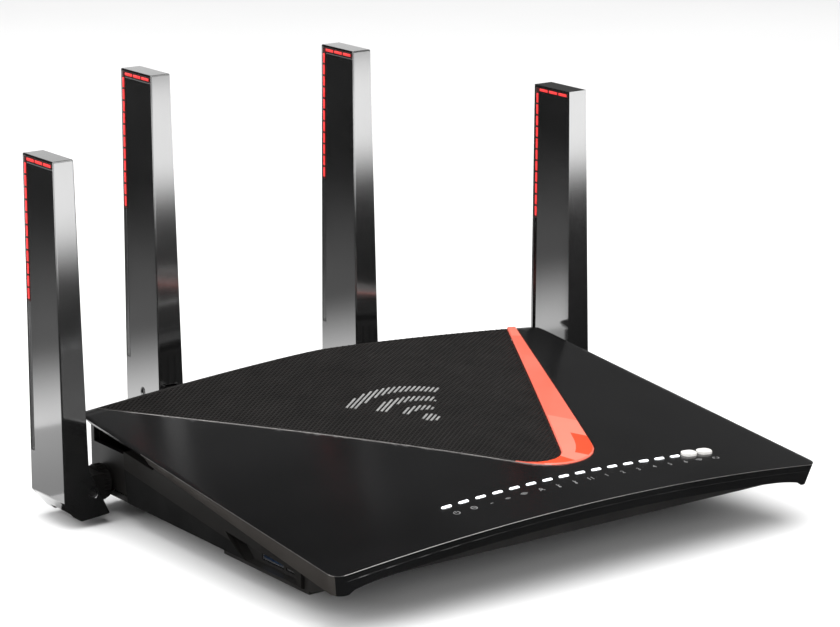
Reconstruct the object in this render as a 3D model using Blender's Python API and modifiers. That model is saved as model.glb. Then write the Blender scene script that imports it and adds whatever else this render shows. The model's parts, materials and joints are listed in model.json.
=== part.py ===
"""Desktop wireless router: a wedge-shaped case with a mesh top, a light row, ports and four hinged antennas.

Metres, +Z up, the desk at z = 0. Shapes are laid out on the case's own centre line, with the front at -Y,
and the root empty then moves the whole object so that the origin is under the middle of its bounding box.
"""

import math

import bmesh
import bpy
from mathutils import Matrix, Vector

MM = 0.001

# Case
HALF_WIDTH = 111.5 * MM
LIP_Y = -84.25 * MM  # front corners of the top cover
LIP_BOW = 3.0 * MM  # how far the middle of the lip stands ahead of its corners
LIP_HEIGHT = 24.0 * MM
DECK_TILT = math.radians(5.65)
ARCH_RISE = 7.5 * MM
ARCH_POWER_FRONT = 2.0
ARCH_POWER_REAR = 1.35
REAR_Y = 98.0 * MM
CREST_Y = REAR_Y - 8.0 * MM  # behind this line the cover falls to the rear edge
REAR_FALL = 0.5
CORNER_CUT = 11.0 * MM
COVER_WALL = 3.0 * MM
UNDER_COVER = COVER_WALL + 0.7 * MM  # from the top surface down to what fits under the cover
FRONT_BAND = 6.5 * MM
SKIRT_FRONT = 8.4 * MM
CORNER_REACH = 20.0 * MM  # along the lip, where the front band deepens to the side skirt
SKIRT_STEP = 3.6 * MM
SKIRT_STEP_Y = REAR_Y - 55.0 * MM
SKIRT_REAR = 2.2 * MM
SKIRT_LEAN = 2.0 * MM
CORNER_SLOPE = 0.7  # how fast the cover narrows behind the corner cut
COVER_GRID = (24, 16)

# Lower housing
HOUSING_HALF = HALF_WIDTH - SKIRT_LEAN - COVER_WALL - 2.5 * MM
HOUSING_REAR_HALF = HOUSING_HALF - 3.0 * MM
HOUSING_FLOOR = 2.3 * MM
FLOOR_HALF = HOUSING_HALF - 13.0 * MM
CHIN_Y = LIP_Y + 8.25 * MM
CHIN_Z = 17.3 * MM  # where the upright chin meets the sloping belly
BELLY_Y = CHIN_Y + 36.0 * MM
SIDE_EDGE_Z = 10.0 * MM
HOUSING_WALL = 2.2 * MM
GAP = 0.3 * MM
SLIVER = 0.004 * MM  # faces thinner than this are cleared away
TALL = 60.0 * MM  # above any part of the cover
FAR = 200.0 * MM  # outside the case on every side

# Mesh window and coloured strip, as corners of plan outlines
WINDOW = (
    (-HALF_WIDTH + 7.5 * MM, CREST_Y),
    (19.7 * MM, LIP_Y + 10.65 * MM),
    (HALF_WIDTH - 10.5 * MM, CREST_Y),
)
WINDOW_RADII = (0.0, 21.8 * MM, 0.0)
MESH_SHARE = 0.916  # how far down the window's left edge the mesh reaches
MESH_AREA = (
    WINDOW[0],
    (
        WINDOW[0][0] + MESH_SHARE * (WINDOW[1][0] - WINDOW[0][0]),
        WINDOW[0][1] + MESH_SHARE * (WINDOW[1][1] - WINDOW[0][1]),
    ),
    (HALF_WIDTH - 15.6 * MM, CREST_Y),
)
MESH_RADII = (0.0, 13.8 * MM, 0.0)
GRILLE_THICKNESS = 1.2 * MM
STRIP_THICKNESS = 1.6 * MM
STRIP_STAND = 0.5 * MM
LEDGE = 3.0 * MM
THROUGH = 9.0 * MM  # how far a cutter reaches past a wall

# Light row
LIGHT_COUNT = 15
LIGHT_FIRST_X = -49.0 * MM
LIGHT_PITCH = 7.62 * MM
LIGHT_LAST_X = LIGHT_FIRST_X + LIGHT_PITCH * (LIGHT_COUNT - 1)
LIGHT_Y = LIP_Y + 21.25 * MM
LIGHT_SIZE = (4.6 * MM, 1.7 * MM)
GUIDE_END = 2.8 * MM
GUIDE_HALF = 3.0 * MM
GUIDE_LOW = COVER_WALL + 2.5 * MM  # depth of the guide's underside below the deck
GUIDE_HIGH = COVER_WALL + 0.7 * MM
KEY_X = (LIGHT_LAST_X + 6.9 * MM, LIGHT_LAST_X + 14.5 * MM)
KEY_SIZE = (6.2 * MM, 2.8 * MM)
KEY_STAND = 0.5 * MM
KEY_FLANGE = 0.5 * MM  # how far a key's flange reaches past its cap, under the cover
PILL_STEPS = 8
FIT = 0.2 * MM  # clearance round a lens or a key in its slot

# Antennas
BLADE_LENGTH = 140.0 * MM
BLADE_WIDTH = 23.2 * MM
BLADE_THICKNESS = 8.8 * MM
WIDTH_TAPER = 0.0113  # per side, growing downwards
THICKNESS_TAPER = 0.019
LID_THICKNESS = 1.2 * MM
GROOVE_EDGE = 1.0 * MM
GROOVE_WIDTH = 1.9 * MM
GROOVE_DEPTH = 0.9 * MM
STRIP_LENGTH = 57.0 * MM
BLADE_WALL = 2.4 * MM
OUTER_WALL = 3.2 * MM  # the wall behind the light strip
SIDE_X = HALF_WIDTH + 10.2 * MM
SIDE_Y = REAR_Y - 9.8 * MM
SIDE_LOW = 3.0 * MM
SIDE_TOP = SIDE_LOW + BLADE_LENGTH
SIDE_AXIS_Z = SIDE_LOW + 10.0 * MM
SIDE_PIN_X = SIDE_X - 8.2 * MM
BACK_X = 48.4 * MM
BACK_Y = REAR_Y + 41.2 * MM
BACK_LOW = 20.2 * MM
BACK_TOP = BACK_LOW + BLADE_LENGTH
BACK_AXIS_Z = BACK_LOW + 8.3 * MM
PIN_RADIUS = 1.5 * MM
PIN_FIT = 0.1 * MM
JACK_RADIUS = 4.6 * MM
SPIGOT_RADIUS = 3.0 * MM
SIDE_COLLAR_RADIUS = 6.8 * MM
BACK_COLLAR_RADIUS = 6.2 * MM
COLLAR_LENGTH = 4.2 * MM
COLLAR_FIT = 0.8 * MM  # between the wall and a swivel's collar
SPIGOT_LENGTH = 2.8 * MM
SIDE_TONGUE = 13.8 * MM
SIDE_KNUCKLE = 5.5 * MM
SIDE_ARM = 5.2 * MM
BACK_TONGUE = 4.6 * MM
BACK_KNUCKLE = 4.5 * MM
BACK_ARM = 4.2 * MM
BACK_NECK = 4.6 * MM
BACK_CLEAR = BLADE_WIDTH / 2 + 5.9 * MM  # the rear blade turns inside this distance from its pin
SLOT_FIT = 0.3 * MM
SIDE_SLOT_REACH = SIDE_COLLAR_RADIUS + 0.5 * MM  # room for the collar when the blade lies down
SIDE_SLOT_RISE = SIDE_KNUCKLE + 0.7 * MM

# Board
BOARD_LOW = 6.2 * MM
BOARD_THICKNESS = 1.6 * MM
PORT_LOW = BOARD_LOW + BOARD_THICKNESS + GAP  # connectors stand on the board

# Rear connectors, by their centres along X
PORT_DEPTH = 16.0 * MM
JACK_SIZE = (15.2 * MM, 13.2 * MM)
JACK_HOLE = (11.8 * MM, 8.2 * MM)
LAN_COUNT = 6
LAN_PITCH = JACK_SIZE[0]
LAN_CENTRE_X = 12.0 * MM
LAN_HALF = LAN_PITCH * LAN_COUNT / 2
WAN_X = LAN_CENTRE_X - LAN_HALF - 8.8 * MM - JACK_SIZE[0] / 2
CAGE_SIZE = (14.6 * MM, 9.8 * MM)
CAGE_WALL = 0.6 * MM
CAGE_DEPTH = 34.0 * MM
CAGE_X = LAN_CENTRE_X + LAN_HALF + 6.1 * MM + CAGE_SIZE[0] / 2
INLET_RADIUS = 5.0 * MM
INLET_BORE = 3.4 * MM
INLET_PIN = 1.0 * MM
INLET_DEPTH = 13.0 * MM
DC_X = WAN_X - JACK_SIZE[0] / 2 - 7.4 * MM - INLET_RADIUS
POWER_RADIUS = 4.3 * MM
POWER_X = DC_X - INLET_RADIUS - 7.7 * MM - POWER_RADIUS
ROUND_Z = PORT_LOW + INLET_RADIUS + 0.9 * MM  # height of the inlet, the push buttons and the slide switch
RESET_RADIUS = 1.4 * MM
RESET_X = CAGE_X + CAGE_SIZE[0] / 2 + 6.3 * MM + RESET_RADIUS
SWITCH_X = RESET_X + 8.0 * MM
SWITCH_SLOT = (3.4 * MM, 7.0 * MM)
SWITCH_KNOB = (3.2 * MM, 3.2 * MM)
KEY_PROUD = 1.6 * MM  # how far the power key stands out of the rear panel
PANEL_THICKNESS = 2.0 * MM
PANEL_HALF = HOUSING_HALF - 5.6 * MM
PANEL_LOW = HOUSING_FLOOR + 2.6 * MM

# Side connectors
USB_Y = (LIP_Y + 56.25 * MM, LIP_Y + 40.75 * MM)
USB_Z = 14.4 * MM
USB_SIZE = (13.4 * MM, 6.0 * MM)
USB_HOLE = (12.2 * MM, 4.8 * MM)
USB_LENGTH = 15.0 * MM
USB_DEPTH = 11.0 * MM
USB_RECESS = (
    (USB_Y[0] + 23.0 * MM, USB_Z + 4.0 * MM),
    (USB_Y[1] - 6.0 * MM, USB_Z + 1.0 * MM),
    (USB_Y[1] - 9.0 * MM, USB_Z - 4.8 * MM),
    (USB_Y[0] + 12.0 * MM, USB_Z - 4.5 * MM),
)
USB_RECESS_DEPTH = 4.0 * MM
USB_BACKING = 8.0 * MM  # thickness of the block behind the recess

# Inside
FAN_SIZE = 60.0 * MM
FAN_HEIGHT = 10.0 * MM
FAN_CENTRE = (5.0 * MM, REAR_Y - 76.0 * MM)
SINK_HEIGHT = 14.6 * MM
SINK_SIDE = 2.0 * MM  # how far the heat sink reaches past the fan on each side
SINK_FINS = 9
FIN_GAP = 4.4 * MM
FAN_LOW = PORT_LOW + SINK_HEIGHT + GAP
FAN_BORE = FAN_SIZE / 2 - 2.0 * MM
FAN_PIN = 1.5 * MM
ROTOR_RADIUS = FAN_BORE - 1.2 * MM
ROTOR_HUB = 11.0 * MM
ROTOR_BLADES = 7
SHIELD_HEIGHT = 4.0 * MM

# Underside
FOOT_RADIUS = 7.0 * MM
FOOT_HEIGHT = 2.0 * MM
FOOT_X = FLOOR_HALF - 13.0 * MM
FOOT_Y = (BELLY_Y + 12.0 * MM, REAR_Y - 16.0 * MM)
SCREW_X = FLOOR_HALF - 29.0 * MM
SCREW_Y = (BELLY_Y + 16.0 * MM, REAR_Y - 28.0 * MM)
SCREW_RADIUS = 1.5 * MM
SCREW_HEAD = 2.9 * MM
BOSS_RADIUS = 5.0 * MM

MATERIALS = {
    "gloss_black": ((0.012, 0.012, 0.013), 0.12, 0.0),
    "satin_black": ((0.020, 0.020, 0.021), 0.38, 0.0),
    "mesh_black": ((0.018, 0.018, 0.019), 0.45, 0.0),
    "coral": ((0.80, 0.105, 0.050), 0.16, 0.0),
    "white_light": ((0.90, 0.92, 0.95), 0.30, 0.0),
    "red_light": ((0.75, 0.03, 0.03), 0.30, 0.0),
    "rubber": ((0.025, 0.025, 0.025), 0.85, 0.0),
    "steel": ((0.55, 0.55, 0.56), 0.35, 1.0),
    "brass": ((0.70, 0.52, 0.25), 0.35, 1.0),
    "aluminium": ((0.62, 0.63, 0.65), 0.45, 1.0),
    "board": ((0.020, 0.090, 0.045), 0.50, 0.0),
}


# --------------------------------------------------------------------------------------------------- helpers


def clear_scene():
    for obj in list(bpy.data.objects):
        bpy.data.objects.remove(obj, do_unlink=True)


def make_collection(name):
    collection = bpy.data.collections.new(name)
    bpy.context.scene.collection.children.link(collection)
    return collection


def make_materials():
    made = {}
    for name, (colour, roughness, metallic) in MATERIALS.items():
        material = bpy.data.materials.new(name)
        material.use_nodes = True
        shader = material.node_tree.nodes["Principled BSDF"]
        shader.inputs["Base Color"].default_value = (*colour, 1.0)
        shader.inputs["Roughness"].default_value = roughness
        shader.inputs["Metallic"].default_value = metallic
        made[name] = material
    return made


def file_under(obj, collection):
    """Links the object to this collection alone, under the root empty."""
    for old in list(obj.users_collection):
        old.objects.unlink(obj)
    collection.objects.link(obj)
    obj.parent = root


def finish(obj, name, material, origin=(0.0, 0.0, 0.0), smooth_angle=30.0):
    """Names the object, gives it its material and puts its origin at a point, such as its joint's axis."""
    obj.name = name
    obj.data.name = name
    obj.data.materials.clear()
    obj.data.materials.append(materials[material])
    shift = Vector(origin) - obj.location
    obj.data.transform(Matrix.Translation(-shift))
    obj.location = origin
    obj.data.shade_smooth()
    obj.data.set_sharp_from_angle(angle=math.radians(smooth_angle))
    file_under(obj, parts)
    return obj


def as_tool(obj):
    """Turns an object into a helper that a Boolean reads and no render shows."""
    obj.hide_render = True
    obj.display_type = "WIRE"
    file_under(obj, cutters)
    return obj


def combine(target, tool, operation):
    modifier = target.modifiers.new(operation.lower(), "BOOLEAN")
    modifier.operation = operation
    modifier.solver = "EXACT"
    modifier.object = as_tool(tool)
    return target


def cut(target, *tools):
    for tool in tools:
        combine(target, tool, "DIFFERENCE")
    return target


def join(target, *tools):
    for tool in tools:
        combine(target, tool, "UNION")
    return target


def without_slivers(obj):
    """Applies the object's modifiers and clears away the needle-thin faces that crossing cuts leave."""
    graph = bpy.context.evaluated_depsgraph_get()
    mesh = bpy.data.meshes.new_from_object(obj.evaluated_get(graph))
    obj.modifiers.clear()
    bm = bmesh.new()
    bm.from_mesh(mesh)
    bmesh.ops.remove_doubles(bm, verts=bm.verts, dist=SLIVER)
    bmesh.ops.triangulate(bm, faces=bm.faces)
    bmesh.ops.dissolve_degenerate(bm, dist=SLIVER, edges=bm.edges)
    bmesh.ops.triangulate(bm, faces=bm.faces)
    bm.to_mesh(mesh)
    bm.free()
    obj.data = mesh
    return obj


def object_of(bm, name="shape"):
    bmesh.ops.recalc_face_normals(bm, faces=bm.faces)
    if bm.calc_volume(signed=True) < 0:
        bmesh.ops.reverse_faces(bm, faces=bm.faces)
    mesh = bpy.data.meshes.new(name)
    bm.to_mesh(mesh)
    bm.free()
    obj = bpy.data.objects.new(name, mesh)
    bpy.context.scene.collection.objects.link(obj)
    return obj


def box(low, high):
    bm = bmesh.new()
    bmesh.ops.create_cube(bm, size=1.0)
    for vert in bm.verts:
        for axis in range(3):
            middle = (low[axis] + high[axis]) / 2
            vert.co[axis] = middle + vert.co[axis] * (high[axis] - low[axis])
    return object_of(bm)


def rod(start, end, radius, sides=32, end_radius=None):
    """A round bar, or a cone frustum, between two points."""
    start = Vector(start)
    end = Vector(end)
    bm = bmesh.new()
    bmesh.ops.create_cone(
        bm,
        cap_ends=True,
        segments=sides,
        radius1=radius,
        radius2=radius if end_radius is None else end_radius,
        depth=(end - start).length,
    )
    turn = Vector((0, 0, 1)).rotation_difference(end - start).to_matrix()
    bmesh.ops.rotate(bm, verts=bm.verts, matrix=turn)
    bmesh.ops.translate(bm, verts=bm.verts, vec=(start + end) / 2)
    return object_of(bm)


def prism(outline, axis, low, high):
    """A flat outline drawn as a 2D curve and extruded along X, Y or Z.

    The outline's two coordinates are (y, z) for X, (x, z) for Y and (x, y) for Z.
    """
    curve = bpy.data.curves.new("outline", "CURVE")
    curve.dimensions = "2D"
    curve.fill_mode = "BOTH"
    curve.extrude = (high - low) / 2
    spline = curve.splines.new("POLY")
    spline.points.add(len(outline) - 1)
    for point, (a, b) in zip(spline.points, outline):
        point.co = (a, b, 0.0, 1.0)
    spline.use_cyclic_u = True
    drawn = bpy.data.objects.new("outline", curve)
    bpy.context.scene.collection.objects.link(drawn)
    graph = bpy.context.evaluated_depsgraph_get()
    mesh = bpy.data.meshes.new_from_object(drawn.evaluated_get(graph))
    bpy.data.objects.remove(drawn, do_unlink=True)
    bm = bmesh.new()
    bm.from_mesh(mesh)
    bmesh.ops.remove_doubles(bm, verts=bm.verts, dist=1e-6)
    middle = (low + high) / 2
    for vert in bm.verts:
        a, b, c = vert.co
        vert.co = {
            "X": (c + middle, a, b),
            "Y": (a, c + middle, b),
            "Z": (a, b, c + middle),
        }[axis]
    return object_of(bm)


def rounded_outline(corners, radii, inset=0.0, steps=10):
    """A polygon, moved inwards by inset, with each corner of non-zero radius replaced by an arc."""
    points = [Vector(corner) for corner in corners]
    count = len(points)
    lines = []
    for i, start in enumerate(points):
        along = (points[(i + 1) % count] - start).normalized()
        inward = Vector((-along.y, along.x))
        lines.append((start + inward * inset, along))
    moved = []
    for i in range(count):
        (a, along_a), (b, along_b) = lines[i - 1], lines[i]
        cross = along_a.x * along_b.y - along_a.y * along_b.x
        reach = ((b - a).x * along_b.y - (b - a).y * along_b.x) / cross
        moved.append(a + along_a * reach)
    outline = []
    for i, corner in enumerate(moved):
        radius = max(radii[i] - inset, 0.0) if radii[i] else 0.0
        if not radius:
            outline.append(tuple(corner))
            continue
        before = (moved[i - 1] - corner).normalized()
        after = (moved[(i + 1) % count] - corner).normalized()
        half = before.angle(after) / 2
        centre = corner + (before + after).normalized() * radius / math.sin(half)
        first = corner + before * radius / math.tan(half) - centre
        sweep = math.pi - 2 * half
        turn = 1 if before.x * after.y - before.y * after.x < 0 else -1
        for step in range(steps + 1):
            angle = turn * sweep * step / steps
            outline.append((
                centre.x + first.x * math.cos(angle) - first.y * math.sin(angle),
                centre.y + first.x * math.sin(angle) + first.y * math.cos(angle),
            ))
    return outline


def deck_height(x, y):
    """The top surface: a tilted plane with an arch across it, falling behind the crest line."""
    along = min(max((y - LIP_Y) / (CREST_Y - LIP_Y), 0.0), 1.0)
    power = ARCH_POWER_FRONT + (ARCH_POWER_REAR - ARCH_POWER_FRONT) * along
    arch = ARCH_RISE * (1 - min(abs(x) / HALF_WIDTH, 1.0) ** power)
    fall = max(y - CREST_Y, 0.0) * REAR_FALL
    return LIP_HEIGHT + (min(y, CREST_Y) - LIP_Y) * math.tan(DECK_TILT) + arch - fall


def lip_line(x):
    return LIP_Y - LIP_BOW * (1 - (x / HALF_WIDTH) ** 2)


def deck_plate(outline, low, high, cell=12 * MM):
    """A plate with this plan outline whose faces follow the deck, low to high above it."""
    bm = bmesh.new()
    face = bm.faces.new([bm.verts.new((x, y, 0.0)) for x, y in outline])
    face.normal_update()
    for axis in range(2):
        values = [point[axis] for point in outline]
        for k in range(math.ceil(min(values) / cell), math.floor(max(values) / cell) + 1):
            normal = Vector((0.0, 0.0, 0.0))
            normal[axis] = 1.0
            bmesh.ops.bisect_plane(
                bm,
                geom=bm.verts[:] + bm.edges[:] + bm.faces[:],
                dist=1e-7,
                plane_co=normal * k * cell,
                plane_no=normal,
            )
    bmesh.ops.triangulate(bm, faces=bm.faces)
    extruded = bmesh.ops.extrude_face_region(bm, geom=bm.faces[:])
    upper = {item for item in extruded["geom"] if isinstance(item, bmesh.types.BMVert)}
    for vert in bm.verts:
        vert.co.z = deck_height(vert.co.x, vert.co.y) + (high if vert in upper else low)
    return object_of(bm)


# ------------------------------------------------------------------------------------------------------ case


def skirt_height(y):
    """The side skirt is deep at the front and thins towards the step, then stays a thin rim."""
    if y > SKIRT_STEP_Y:
        return SKIRT_REAR
    share = (y - LIP_Y) / (SKIRT_STEP_Y - LIP_Y)
    return SKIRT_FRONT + (SKIRT_STEP - SKIRT_FRONT) * share


def band_height(x):
    """The front band is even, and deepens at each corner to meet the side skirt."""
    share = max(1 - (HALF_WIDTH - abs(x)) / CORNER_REACH, 0.0)
    return FRONT_BAND + (SKIRT_FRONT - FRONT_BAND) * share * share


def half_width_at(y):
    """The rear corners of the cover are cut off at an angle."""
    return HALF_WIDTH - max(y - (REAR_Y - CORNER_CUT), 0.0) * CORNER_SLOPE


def make_top_cover():
    bm = bmesh.new()
    bmesh.ops.create_grid(bm, x_segments=COVER_GRID[0], y_segments=COVER_GRID[1], size=1.0)
    front = []
    sides = []
    for vert in bm.verts:
        u, v = vert.co.x, (vert.co.y + 1) / 2
        if abs(abs(u) - 1) < 1e-6:
            sides.append(vert)
        if v < 1e-6:
            front.append(vert)
        near_front = lip_line(u * HALF_WIDTH)
        y = near_front + (REAR_Y - near_front) * v
        x = u * half_width_at(y)
        vert.co = (x, y, deck_height(x, y))
    outer = set(front + sides)
    rim = [edge for edge in bm.edges if edge.is_boundary and outer.issuperset(edge.verts)]
    hem = bmesh.ops.extrude_edge_only(bm, edges=rim)
    for item in hem["geom"]:
        if not isinstance(item, bmesh.types.BMVert):
            continue
        x, y, z = item.co
        on_side = abs(abs(x) - half_width_at(y)) < 1e-6
        drop = skirt_height(y) if on_side else band_height(x)
        x *= 1 - SKIRT_LEAN / HALF_WIDTH
        y += SKIRT_LEAN * (REAR_Y - y) / (REAR_Y - LIP_Y)
        item.co = (x, y, z - drop)
    cover = object_of(bm)
    wall = cover.modifiers.new("wall", "SOLIDIFY")
    wall.thickness = COVER_WALL
    wall.offset = -1.0
    pocket = deck_plate(rounded_outline(WINDOW, WINDOW_RADII), -STRIP_THICKNESS - GAP, THROUGH)
    through = deck_plate(rounded_outline(WINDOW, WINDOW_RADII, LEDGE), -THROUGH, THROUGH)
    cut(cover, pocket, through)
    for x in light_places():
        cut(cover, slot_tool(x, LIGHT_SIZE))
    for x in KEY_X:
        cut(cover, slot_tool(x, KEY_SIZE))
    return finish(without_slivers(cover), "top_cover", "gloss_black")


def light_places():
    return [LIGHT_FIRST_X + LIGHT_PITCH * k for k in range(LIGHT_COUNT)]


def pill(x, size, low, high, grow=0.0):
    """A round-ended bar standing on end under the light row, low to high above the deck there."""
    length, width = size[0] + 2 * grow, size[1] + 2 * grow
    reach = (length - width) / 2
    outline = []
    for side in (1, -1):
        for step in range(PILL_STEPS + 1):
            angle = side * math.pi / 2 - math.pi * step / PILL_STEPS
            outline.append((
                x + side * reach + width / 2 * math.cos(angle),
                LIGHT_Y + width / 2 * math.sin(angle),
            ))
    level = deck_height(x, LIGHT_Y)
    return prism(outline, "Z", level + low, level + high)


def slot_tool(x, size):
    return pill(x, size, -THROUGH, THROUGH, grow=FIT)


def make_light_guide():
    """A bar under the cover with one lens standing up through each slot."""
    first, last = light_places()[0] - GUIDE_END, light_places()[-1] + GUIDE_END
    outline = [
        (first, LIGHT_Y - GUIDE_HALF),
        (last, LIGHT_Y - GUIDE_HALF),
        (last, LIGHT_Y + GUIDE_HALF),
        (first, LIGHT_Y + GUIDE_HALF),
    ]
    guide = deck_plate(outline, -GUIDE_LOW, -GUIDE_HIGH)
    for x in light_places():
        join(guide, pill(x, LIGHT_SIZE, -(GUIDE_LOW + GUIDE_HIGH) / 2, 0.0))
    return finish(guide, "light_guide", "white_light")


def make_keys():
    for name, x in zip(("wifi_button", "wps_button"), KEY_X):
        key = pill(x, KEY_SIZE, -COVER_WALL - 1.2 * MM, KEY_STAND)
        flange = pill(x, KEY_SIZE, -COVER_WALL - 2.0 * MM, -COVER_WALL - 0.5 * MM, grow=KEY_FLANGE)
        join(key, flange)
        finish(key, name, "white_light", (x, LIGHT_Y, deck_height(x, LIGHT_Y)))


def make_grille():
    grille = deck_plate(rounded_outline(MESH_AREA, MESH_RADII, GAP), -GRILLE_THICKNESS, 0.0)
    return finish(grille, "mesh_grille", "mesh_black")


def make_accent():
    strip = deck_plate(rounded_outline(WINDOW, WINDOW_RADII, GAP), -STRIP_THICKNESS, STRIP_STAND)
    cut(strip, deck_plate(rounded_outline(MESH_AREA, MESH_RADII), -THROUGH, THROUGH))
    return finish(strip, "accent_trim", "coral")


def housing_solid(inset):
    """The tub's outer shape, or its cavity: a side profile along X, cut to a front profile along Y."""
    floor = HOUSING_FLOOR + inset
    side = [
        (CHIN_Y + inset, TALL),
        (CHIN_Y + inset, CHIN_Z + inset * 0.6),
        (BELLY_Y + inset * 0.3, floor),
        (REAR_Y - inset, floor),
        (REAR_Y - inset, TALL),
    ]
    half = HOUSING_HALF - inset
    front = [
        (-half, TALL),
        (-half, SIDE_EDGE_Z + inset * 0.4),
        (-FLOOR_HALF + inset * 0.5, floor),
        (FLOOR_HALF - inset * 0.5, floor),
        (half, SIDE_EDGE_Z + inset * 0.4),
        (half, TALL),
    ]
    return combine(prism(side, "X", -FAR, FAR), prism(front, "Y", -FAR, FAR), "INTERSECT")


def above_cover_line():
    """Everything above the surface that the lower pieces may reach up to."""
    side = HALF_WIDTH + THROUGH
    outline = [
        (-side, LIP_Y - THROUGH),
        (side, LIP_Y - THROUGH),
        (side, REAR_Y + THROUGH),
        (-side, REAR_Y + THROUGH),
    ]
    return deck_plate(outline, -UNDER_COVER, TALL)


def make_lower_housing():
    housing = housing_solid(0.0)
    cut(housing, housing_solid(HOUSING_WALL), above_cover_line())
    make_usb_recess(housing)
    for side in (-1, 1):
        set_back_side(housing, side)
    for x in (-SCREW_X, SCREW_X):
        for y in SCREW_Y:
            join(housing, rod((x, y, HOUSING_FLOOR + 0.5 * MM), (x, y, BOARD_LOW - GAP), BOSS_RADIUS))
            cut(housing, rod((x, y, -THROUGH), (x, y, BOARD_LOW + THROUGH), SCREW_RADIUS + GAP, 24))
            cut(housing, rod((x, y, -THROUGH), (x, y, HOUSING_FLOOR + 1.6 * MM), SCREW_HEAD + 0.4 * MM, 24))
    low = (-PANEL_HALF - GAP, REAR_Y - 6 * MM, PANEL_LOW - GAP)
    cut(housing, box(low, (PANEL_HALF + GAP, REAR_Y + THROUGH, TALL)))
    return finish(housing, "lower_housing", "satin_black")


def make_usb_recess(housing):
    """The sunk field in the left wall, backed by a thicker block, with a window for each USB socket."""
    wall = -HOUSING_HALF
    backing_low = (wall + 0.5 * MM, USB_Y[1] - 12.5 * MM, USB_Z - 6.0 * MM)
    join(housing, box(backing_low, (wall + USB_BACKING, USB_Y[0] + 27 * MM, USB_Z + 4.8 * MM)))
    cut(housing, prism(USB_RECESS, "X", wall - THROUGH, wall + USB_RECESS_DEPTH))
    half_w, half_h = USB_SIZE[0] / 2 + GAP, USB_SIZE[1] / 2 + GAP
    for y in USB_Y:
        low = (wall - THROUGH, y - half_w, USB_Z - half_h)
        cut(housing, box(low, (wall + USB_BACKING + THROUGH, y + half_w, USB_Z + half_h)))


def set_back_side(housing, side):
    """Behind the step the side wall is set back, with a rib inside where the antenna jack goes through."""
    wall = sorted((side * (HOUSING_REAR_HALF - 2.4 * MM), side * (HOUSING_HALF - 0.6 * MM)))
    join(housing, box((wall[0], SKIRT_STEP_Y - 1 * MM, 11 * MM), (wall[1], REAR_Y - 1 * MM, 27 * MM)))
    outer = sorted((side * HOUSING_REAR_HALF, side * (HOUSING_HALF + THROUGH)))
    cut(housing, box((outer[0], SKIRT_STEP_Y, -THROUGH), (outer[1], REAR_Y + THROUGH, TALL)))
    inner = (side * (HOUSING_REAR_HALF - 11 * MM), SIDE_Y, SIDE_AXIS_Z)
    cut(housing, rod(inner, (side * (HALF_WIDTH + THROUGH), SIDE_Y, SIDE_AXIS_Z), JACK_RADIUS + GAP))


def make_rear_panel():
    low = (-PANEL_HALF, REAR_Y - PANEL_THICKNESS, PANEL_LOW)
    panel = box(low, (PANEL_HALF, REAR_Y, TALL))
    cut(panel, above_cover_line())

    def window(x, size, low=PORT_LOW):
        half = size[0] / 2 + GAP
        corner = (x - half, REAR_Y - THROUGH, low - GAP)
        cut(panel, box(corner, (x + half, REAR_Y + THROUGH, low + size[1] + GAP)))

    def hole(x, z, radius):
        cut(panel, rod((x, REAR_Y - THROUGH, z), (x, REAR_Y + THROUGH, z), radius + GAP))

    window(LAN_CENTRE_X, (2 * LAN_HALF, JACK_SIZE[1]))
    window(WAN_X, JACK_SIZE)
    window(CAGE_X, CAGE_SIZE)
    window(SWITCH_X, SWITCH_SLOT, ROUND_Z - SWITCH_SLOT[1] / 2)
    hole(DC_X, ROUND_Z, INLET_RADIUS)
    hole(POWER_X, ROUND_Z, POWER_RADIUS + 0.2 * MM)
    hole(RESET_X, ROUND_Z, RESET_RADIUS + 0.2 * MM)
    hole(back_axis_x(-1), BACK_AXIS_Z, JACK_RADIUS)
    hole(back_axis_x(1), BACK_AXIS_Z, JACK_RADIUS)
    return finish(panel, "rear_panel", "satin_black")


# ------------------------------------------------------------------------------------------------ connectors


def socket_block(x, width, height, hole, holes=1, pitch=0.0, depth=PORT_DEPTH):
    """A connector body standing in the rear panel, with one blind opening for each socket."""
    face = REAR_Y - GAP
    middle = PORT_LOW + height / 2
    block = box((x - width / 2, face - depth, PORT_LOW), (x + width / 2, face, PORT_LOW + height))
    for k in range(holes):
        centre = x + (k - (holes - 1) / 2) * pitch
        low = (centre - hole[0] / 2, face - depth + 2.2 * MM, middle - hole[1] / 2)
        cut(block, box(low, (centre + hole[0] / 2, face + 2 * MM, middle + hole[1] / 2)))
    return block


def make_rear_connectors():
    lan = socket_block(LAN_CENTRE_X, 2 * LAN_HALF, JACK_SIZE[1], JACK_HOLE, LAN_COUNT, LAN_PITCH)
    finish(lan, "lan_jack_block", "satin_black")
    finish(socket_block(WAN_X, *JACK_SIZE, JACK_HOLE), "wan_jack", "satin_black")
    cage_hole = (CAGE_SIZE[0] - 2 * CAGE_WALL, CAGE_SIZE[1] - 2 * CAGE_WALL)
    finish(socket_block(CAGE_X, *CAGE_SIZE, cage_hole, depth=CAGE_DEPTH), "sfp_cage", "steel")
    face = REAR_Y - GAP

    def bar(back, front, radius, sides=32):
        return rod((DC_X, face - back, ROUND_Z), (DC_X, face - front, ROUND_Z), radius, sides)

    inlet = bar(INLET_DEPTH, 0.0, INLET_RADIUS)
    cut(inlet, bar(INLET_DEPTH - 3 * MM, -2 * MM, INLET_BORE))
    join(inlet, bar(INLET_DEPTH - 2 * MM, 1 * MM, INLET_PIN, 16))
    finish(inlet, "dc_inlet", "satin_black")


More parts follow.
